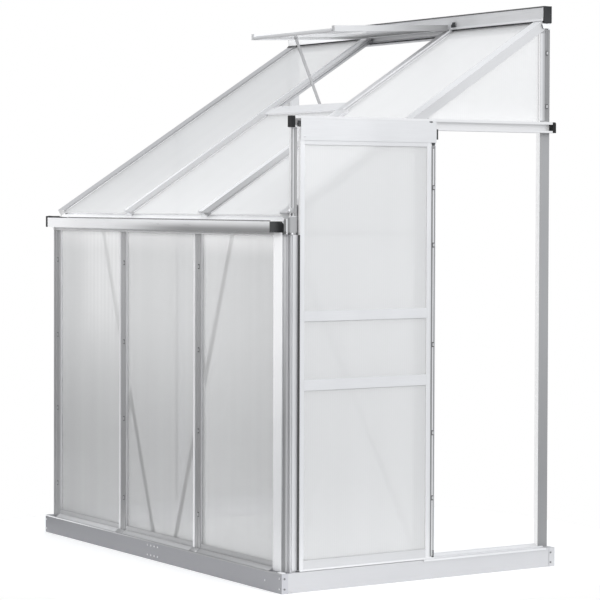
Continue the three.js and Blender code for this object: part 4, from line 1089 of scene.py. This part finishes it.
ridge_cap_low = 2171 * mm
# The ridge caps are a darker copy of the black moulding, painted shade.
ridge_cap_plastic = cap_finish("ridge_cap_moulding", 0.8, 0.25)
for side, name in ((-1, "ridge_cap_left"), (1, "ridge_cap_right")):
    inner = plate_high.x + strip_gap if side > 0 else plate_low.x - strip_gap - cap_thick
    ridge_cap = begin_box(name, (inner, plate_low.y, ridge_cap_low),
                          (inner + cap_thick, plate_high.y, plate_high.z))
    choose(ridge_cap, lambda middle, normal: normal.x * side > 0.9)
    bpy.ops.mesh.inset(thickness=5 * mm)
    push((-side * 1.2 * mm, 0, 0))
    finish_piece(ridge_cap, ridge_cap_plastic, "frame", "cap", round_off=1.5 * mm, segments=2)

# Door fittings: small dark and light marks at the door's edges. They are taken to be a brush on the
# leading edge, a groove with a rib and plugs in the rear stile, a sweep below, and on the header a
# roller guard, a screw, a stop at the far end and a plug in the roller's slot.
edge_low, edge_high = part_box("door_stile_front")
brush_thick = 1.4 * mm
brush_fibre = metal_finish("brush_fibre", "Z", 0.10, 0, 0.7)
brush_low = (edge_low.x + 0.2 * mm, edge_low.y - strip_gap - brush_thick, edge_low.z + 2 * mm)
brush = begin_box("door_edge_brush", brush_low, (edge_high.x - 0.2 * mm, edge_low.y - strip_gap, side_top))
choose(brush, lambda middle, normal: normal.y < -0.9)
bpy.ops.mesh.inset(thickness=1 * mm)
push((0, -0.3 * mm, 0))
finish_piece(brush, brush_fibre, "door", "cap", round_off=0.2 * mm)
groove_start = 20 * mm
groove_wide = 17 * mm
rail_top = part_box("door_bottom_rail")[1].z
header_plate_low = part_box("door_header")[0].z + 16 * mm
top_plug_high = 12 * mm
groove_face = stile_high.x + strip_gap
groove_end = stile_low.y + groove_start + groove_wide
# The groove in the rear stile is painted dark, as the shade in it.
dark_groove = metal_finish("dark_groove", "Z", 0.30, 0.3, 0.5)
banded_strip("door_rear_groove", (groove_face, stile_low.y + groove_start, rail_top - 30 * mm),
             (groove_face + strip_base, groove_end, header_plate_low - top_plug_high - 1 * mm), to_door,
             to_wall, ((0.5 * mm, 3 * mm, 0.8 * mm), (14 * mm, 15.5 * mm, 0.8 * mm)), dark_groove, "door")
rib_wide = 5 * mm
rib_start = stile_low.y + groove_start + (groove_wide - rib_wide) / 2
rib_low_x = groove_face + strip_base + 0.05 * mm
banded_strip("door_rear_rib", (rib_low_x, rib_start, rail_top - 28 * mm),
             (rib_low_x + 0.6 * mm, rib_start + rib_wide, header_plate_low - top_plug_high - 12 * mm),
             to_door, to_wall, ((1 * mm, 4 * mm, 0.1 * mm),), light_channel, "door")
top_plug_low = (groove_face, stile_low.y + groove_start - 1 * mm, header_plate_low - top_plug_high)
top_plug = begin_box("stile_top_plug", top_plug_low,
                     (groove_face + 1.6 * mm, groove_end, header_plate_low - 0.5 * mm))
choose(top_plug, lambda middle, normal: normal.z < -0.9)
bpy.ops.transform.resize(value=(1, 0.6, 1))
finish_piece(top_plug, cap_plastic, "door", "cap", round_off=0.4 * mm)
header_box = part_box("door_header")
guard_foot = 1737 * mm
guard_top = 1758 * mm
header_screw_height = 1699 * mm
stop_foot = 1697 * mm
guard_low = (header_box[1].x - 6 * mm, header_box[0].y - 12 * mm, guard_foot)
guard_high = (header_box[1].x - 0.2 * mm, header_box[0].y - 0.3 * mm, guard_top)
guard = begin_box("roller_guard", guard_low, guard_high)
choose(guard, lambda middle, normal: normal.x > 0.9)
bpy.ops.mesh.inset(thickness=2 * mm)
push((-1 * mm, 0, 0))
finish_piece(guard, cap_plastic, "door", "cap", round_off=1.2 * mm, segments=2)
header_screw_place = (header_box[1].x - 1.1 * mm, header_box[0].y + 18 * mm, header_screw_height)
place_screws("header_screw", facing_door, [header_screw_place], "door")
stop_low = (header_box[1].x - 2 * mm, header_box[1].y + 0.3 * mm, stop_foot)
stop = begin_box("header_stop", stop_low, (header_box[1].x - 0.3 * mm, header_box[1].y + 8 * mm, guard_foot))
choose(stop, lambda middle, normal: normal.x > 0.9)
bpy.ops.mesh.inset(thickness=0.5 * mm)
push((-0.5 * mm, 0, 0))
finish_piece(stop, rubber, "door", "cap", round_off=0.2 * mm)

slot_radius = 9 * mm
slot_plug = begin_disc("roller_slot_plug", slot_radius, 0.6 * mm, 20)
choose(slot_plug, lambda middle, normal: normal.z > 0.9)
bpy.ops.mesh.inset(thickness=1.5 * mm)
push((0, 0, 0.2 * mm))
bpy.ops.mesh.select_all(action="SELECT")
bpy.ops.transform.resize(value=(0.3, 1, 1))
roller_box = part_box("door_roller_rear")
roller_middle = (roller_box[0].y + roller_box[1].y) / 2
seat(slot_plug, (header_box[1].x + 0.1 * mm, roller_middle, header_box[1].z - 4 * mm), (0, radians(90), 0))
finish_piece(slot_plug, cap_plastic, "door", "cap", round_off=0)

sweep_thick = 1.2 * mm
sweep = begin_box("door_bottom_sweep", (edge_high.x + 0.2 * mm, edge_low.y + 1 * mm, edge_low.z - 3 * mm),
                  (edge_high.x + 0.2 * mm + sweep_thick, stile_high.y - 1 * mm, edge_low.z + 5 * mm))
choose(sweep, lambda middle, normal: normal.x > 0.9)
bpy.ops.mesh.inset(thickness=1.4 * mm)
push((0.4 * mm, 0, 0))
finish_piece(sweep, light_channel, "door", round_off=0.2 * mm)

foot_plug = begin_box("door_foot_plug", (groove_face, stile_high.y - 13 * mm, stile_low.z + 3 * mm),
                      (groove_face + 1.6 * mm, stile_high.y - 3 * mm, stile_low.z + 30 * mm))
choose(foot_plug, lambda middle, normal: normal.x > 0.9)
bpy.ops.mesh.inset(thickness=1.6 * mm)
push((-0.5 * mm, 0, 0))
finish_piece(foot_plug, cap_plastic, "door", "cap", round_off=0.4 * mm)

# Rear wall post: above the door track something light laps over its inner half, taken to be the sheet,
# painted darker towards its outer edge as shade, and its outer edge shows pressed grooves, painted dark
# as shade. A bright plate closes the end of the last rafter.
track_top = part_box("door_track")[1].z
lap_metal = metal_finish("rear_post_lap", "Z", 0.78, 0.1, 0.4)
lap_wide = 25 * mm
fade(lap_metal, to_wall, rear_low.y, rear_low.y + lap_wide, 1, 0.50)
lap_face = rear_high.x + strip_gap
lap_foot = track_top + 6 * mm
rear_groove_bands = ((0.5 * mm, 3 * mm, 0.6 * mm), (9 * mm, 13 * mm, 0.8 * mm), (19 * mm, 21 * mm, 0.6 * mm))
banded_strip("rear_post_lap", (lap_face, rear_low.y + 0.5 * mm, lap_foot),
             (lap_face + strip_base, rear_low.y + lap_wide, rear_high.z - 16 * mm), to_door, to_wall,
             ((3 * mm, 6 * mm, 0.3 * mm),), lap_metal, "frame")
banded_strip("rear_post_grooves", (lap_face, rear_low.y + lap_wide + 0.5 * mm, lap_foot),
             (lap_face + strip_base, rear_high.y - 0.5 * mm, rear_high.z - 4 * mm), to_door, to_wall,
             rear_groove_bands, dark_groove, "frame")
end_plate_high = 2169 * mm
end_plate_tall = 20 * mm
end_plate_low = (plate_high.x + strip_gap, rear_low.y + 2 * mm, end_plate_high - end_plate_tall)
end_plate = begin_box("rafter_end_plate", end_plate_low,
                      (plate_high.x + strip_gap + 2 * mm, rear_high.y - 2 * mm, end_plate_high))
choose(end_plate, lambda middle, normal: normal.z < -0.9)
bpy.ops.transform.resize(value=(1, 0.7, 1))
finish_piece(end_plate, lip_metal, "frame", round_off=0.5 * mm)

# Front sill: between the uprights a dark line runs under the foot of each sheet, taken to be a pressed
# groove that holds it, and below it a light band, taken to be a ledge that slopes out to the base.
sill_face = sill_low.y - strip_gap
ledge_top = 89 * mm
ledge_front = base_low.y + 2.5 * mm
groove_top = 107 * mm
# The ledges and grooves are painted darker towards the door, as shade, and the shoes take the bar faces' paint,
# darker towards the bottom.
ledge_metal = metal_finish("sill_ledge", "X", 0.64, 0.2, 0.42)
ledge_shade_span = (-0.9, 0.6)
fade(ledge_metal, to_door, *ledge_shade_span, 1, 0.66)
foot_groove_metal = metal_finish("sheet_foot_groove", "X", 0.60, 0.45, 0.4)
foot_groove_span = (-0.9, 0.7)
fade(foot_groove_metal, to_door, *foot_groove_span, 1, 0.70)
left_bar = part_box("front_bar_left")
right_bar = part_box("front_bar_right")
sill_spans = ((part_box("corner_post_left")[1].x, left_bar[0].x), (left_bar[1].x, right_bar[0].x),
              (right_bar[1].x, post_low.x))


def foot_wedge(name, start, end, back, paint):
    wedge = begin_box(name, (start + 0.5 * mm, ledge_front, sill_low.z + 0.5 * mm),
                      (end - 0.5 * mm, back, ledge_top))
    choose(wedge, lambda middle, normal: normal.z > 0.9)
    bpy.ops.transform.resize(value=(1, 0.16, 1))
    slide((0, (back - ledge_front) * 0.42, 0))
    finish_piece(wedge, paint, "frame", round_off=0.8 * mm, segments=2)


plate_start = (base_high.x - 32 * mm, base_low.y + 1 * mm, base_high.z + 0.2 * mm)
corner_plate = begin_box("base_corner_plate", plate_start,
                         (base_high.x - 3 * mm, base_low.y + 19 * mm, base_high.z + 2.4 * mm))
choose(corner_plate, lambda middle, normal: normal.z > 0.9)
bpy.ops.mesh.inset(thickness=2 * mm)
push((0, 0, 0.6 * mm))
finish_piece(corner_plate, lip_metal, "frame", "galvanised", round_off=0.3 * mm)
for bar_name in ("front_bar_left", "front_bar_right"):
    bar_low, bar_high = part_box(bar_name)
    foot_wedge(bar_name + "_shoe", bar_low.x, bar_high.x, bar_low.y - 3.5 * mm, bar_face_metal)
for number, (start, end) in enumerate(sill_spans):
    foot_wedge("front_sill_ledge_" + str(number + 1), start, end, sill_face, ledge_metal)
    banded_strip("front_sill_groove_" + str(number + 1),
                 (start + 0.5 * mm, sill_face - 0.8 * mm, ledge_top + 0.3 * mm),
                 (end - 0.5 * mm, sill_face, groove_top), to_front, upward, ((1 * mm, 3 * mm, 0.5 * mm),),
                 foot_groove_metal, "frame")

bpy.data.objects.remove(screw)
bpy.data.objects.remove(bolt)
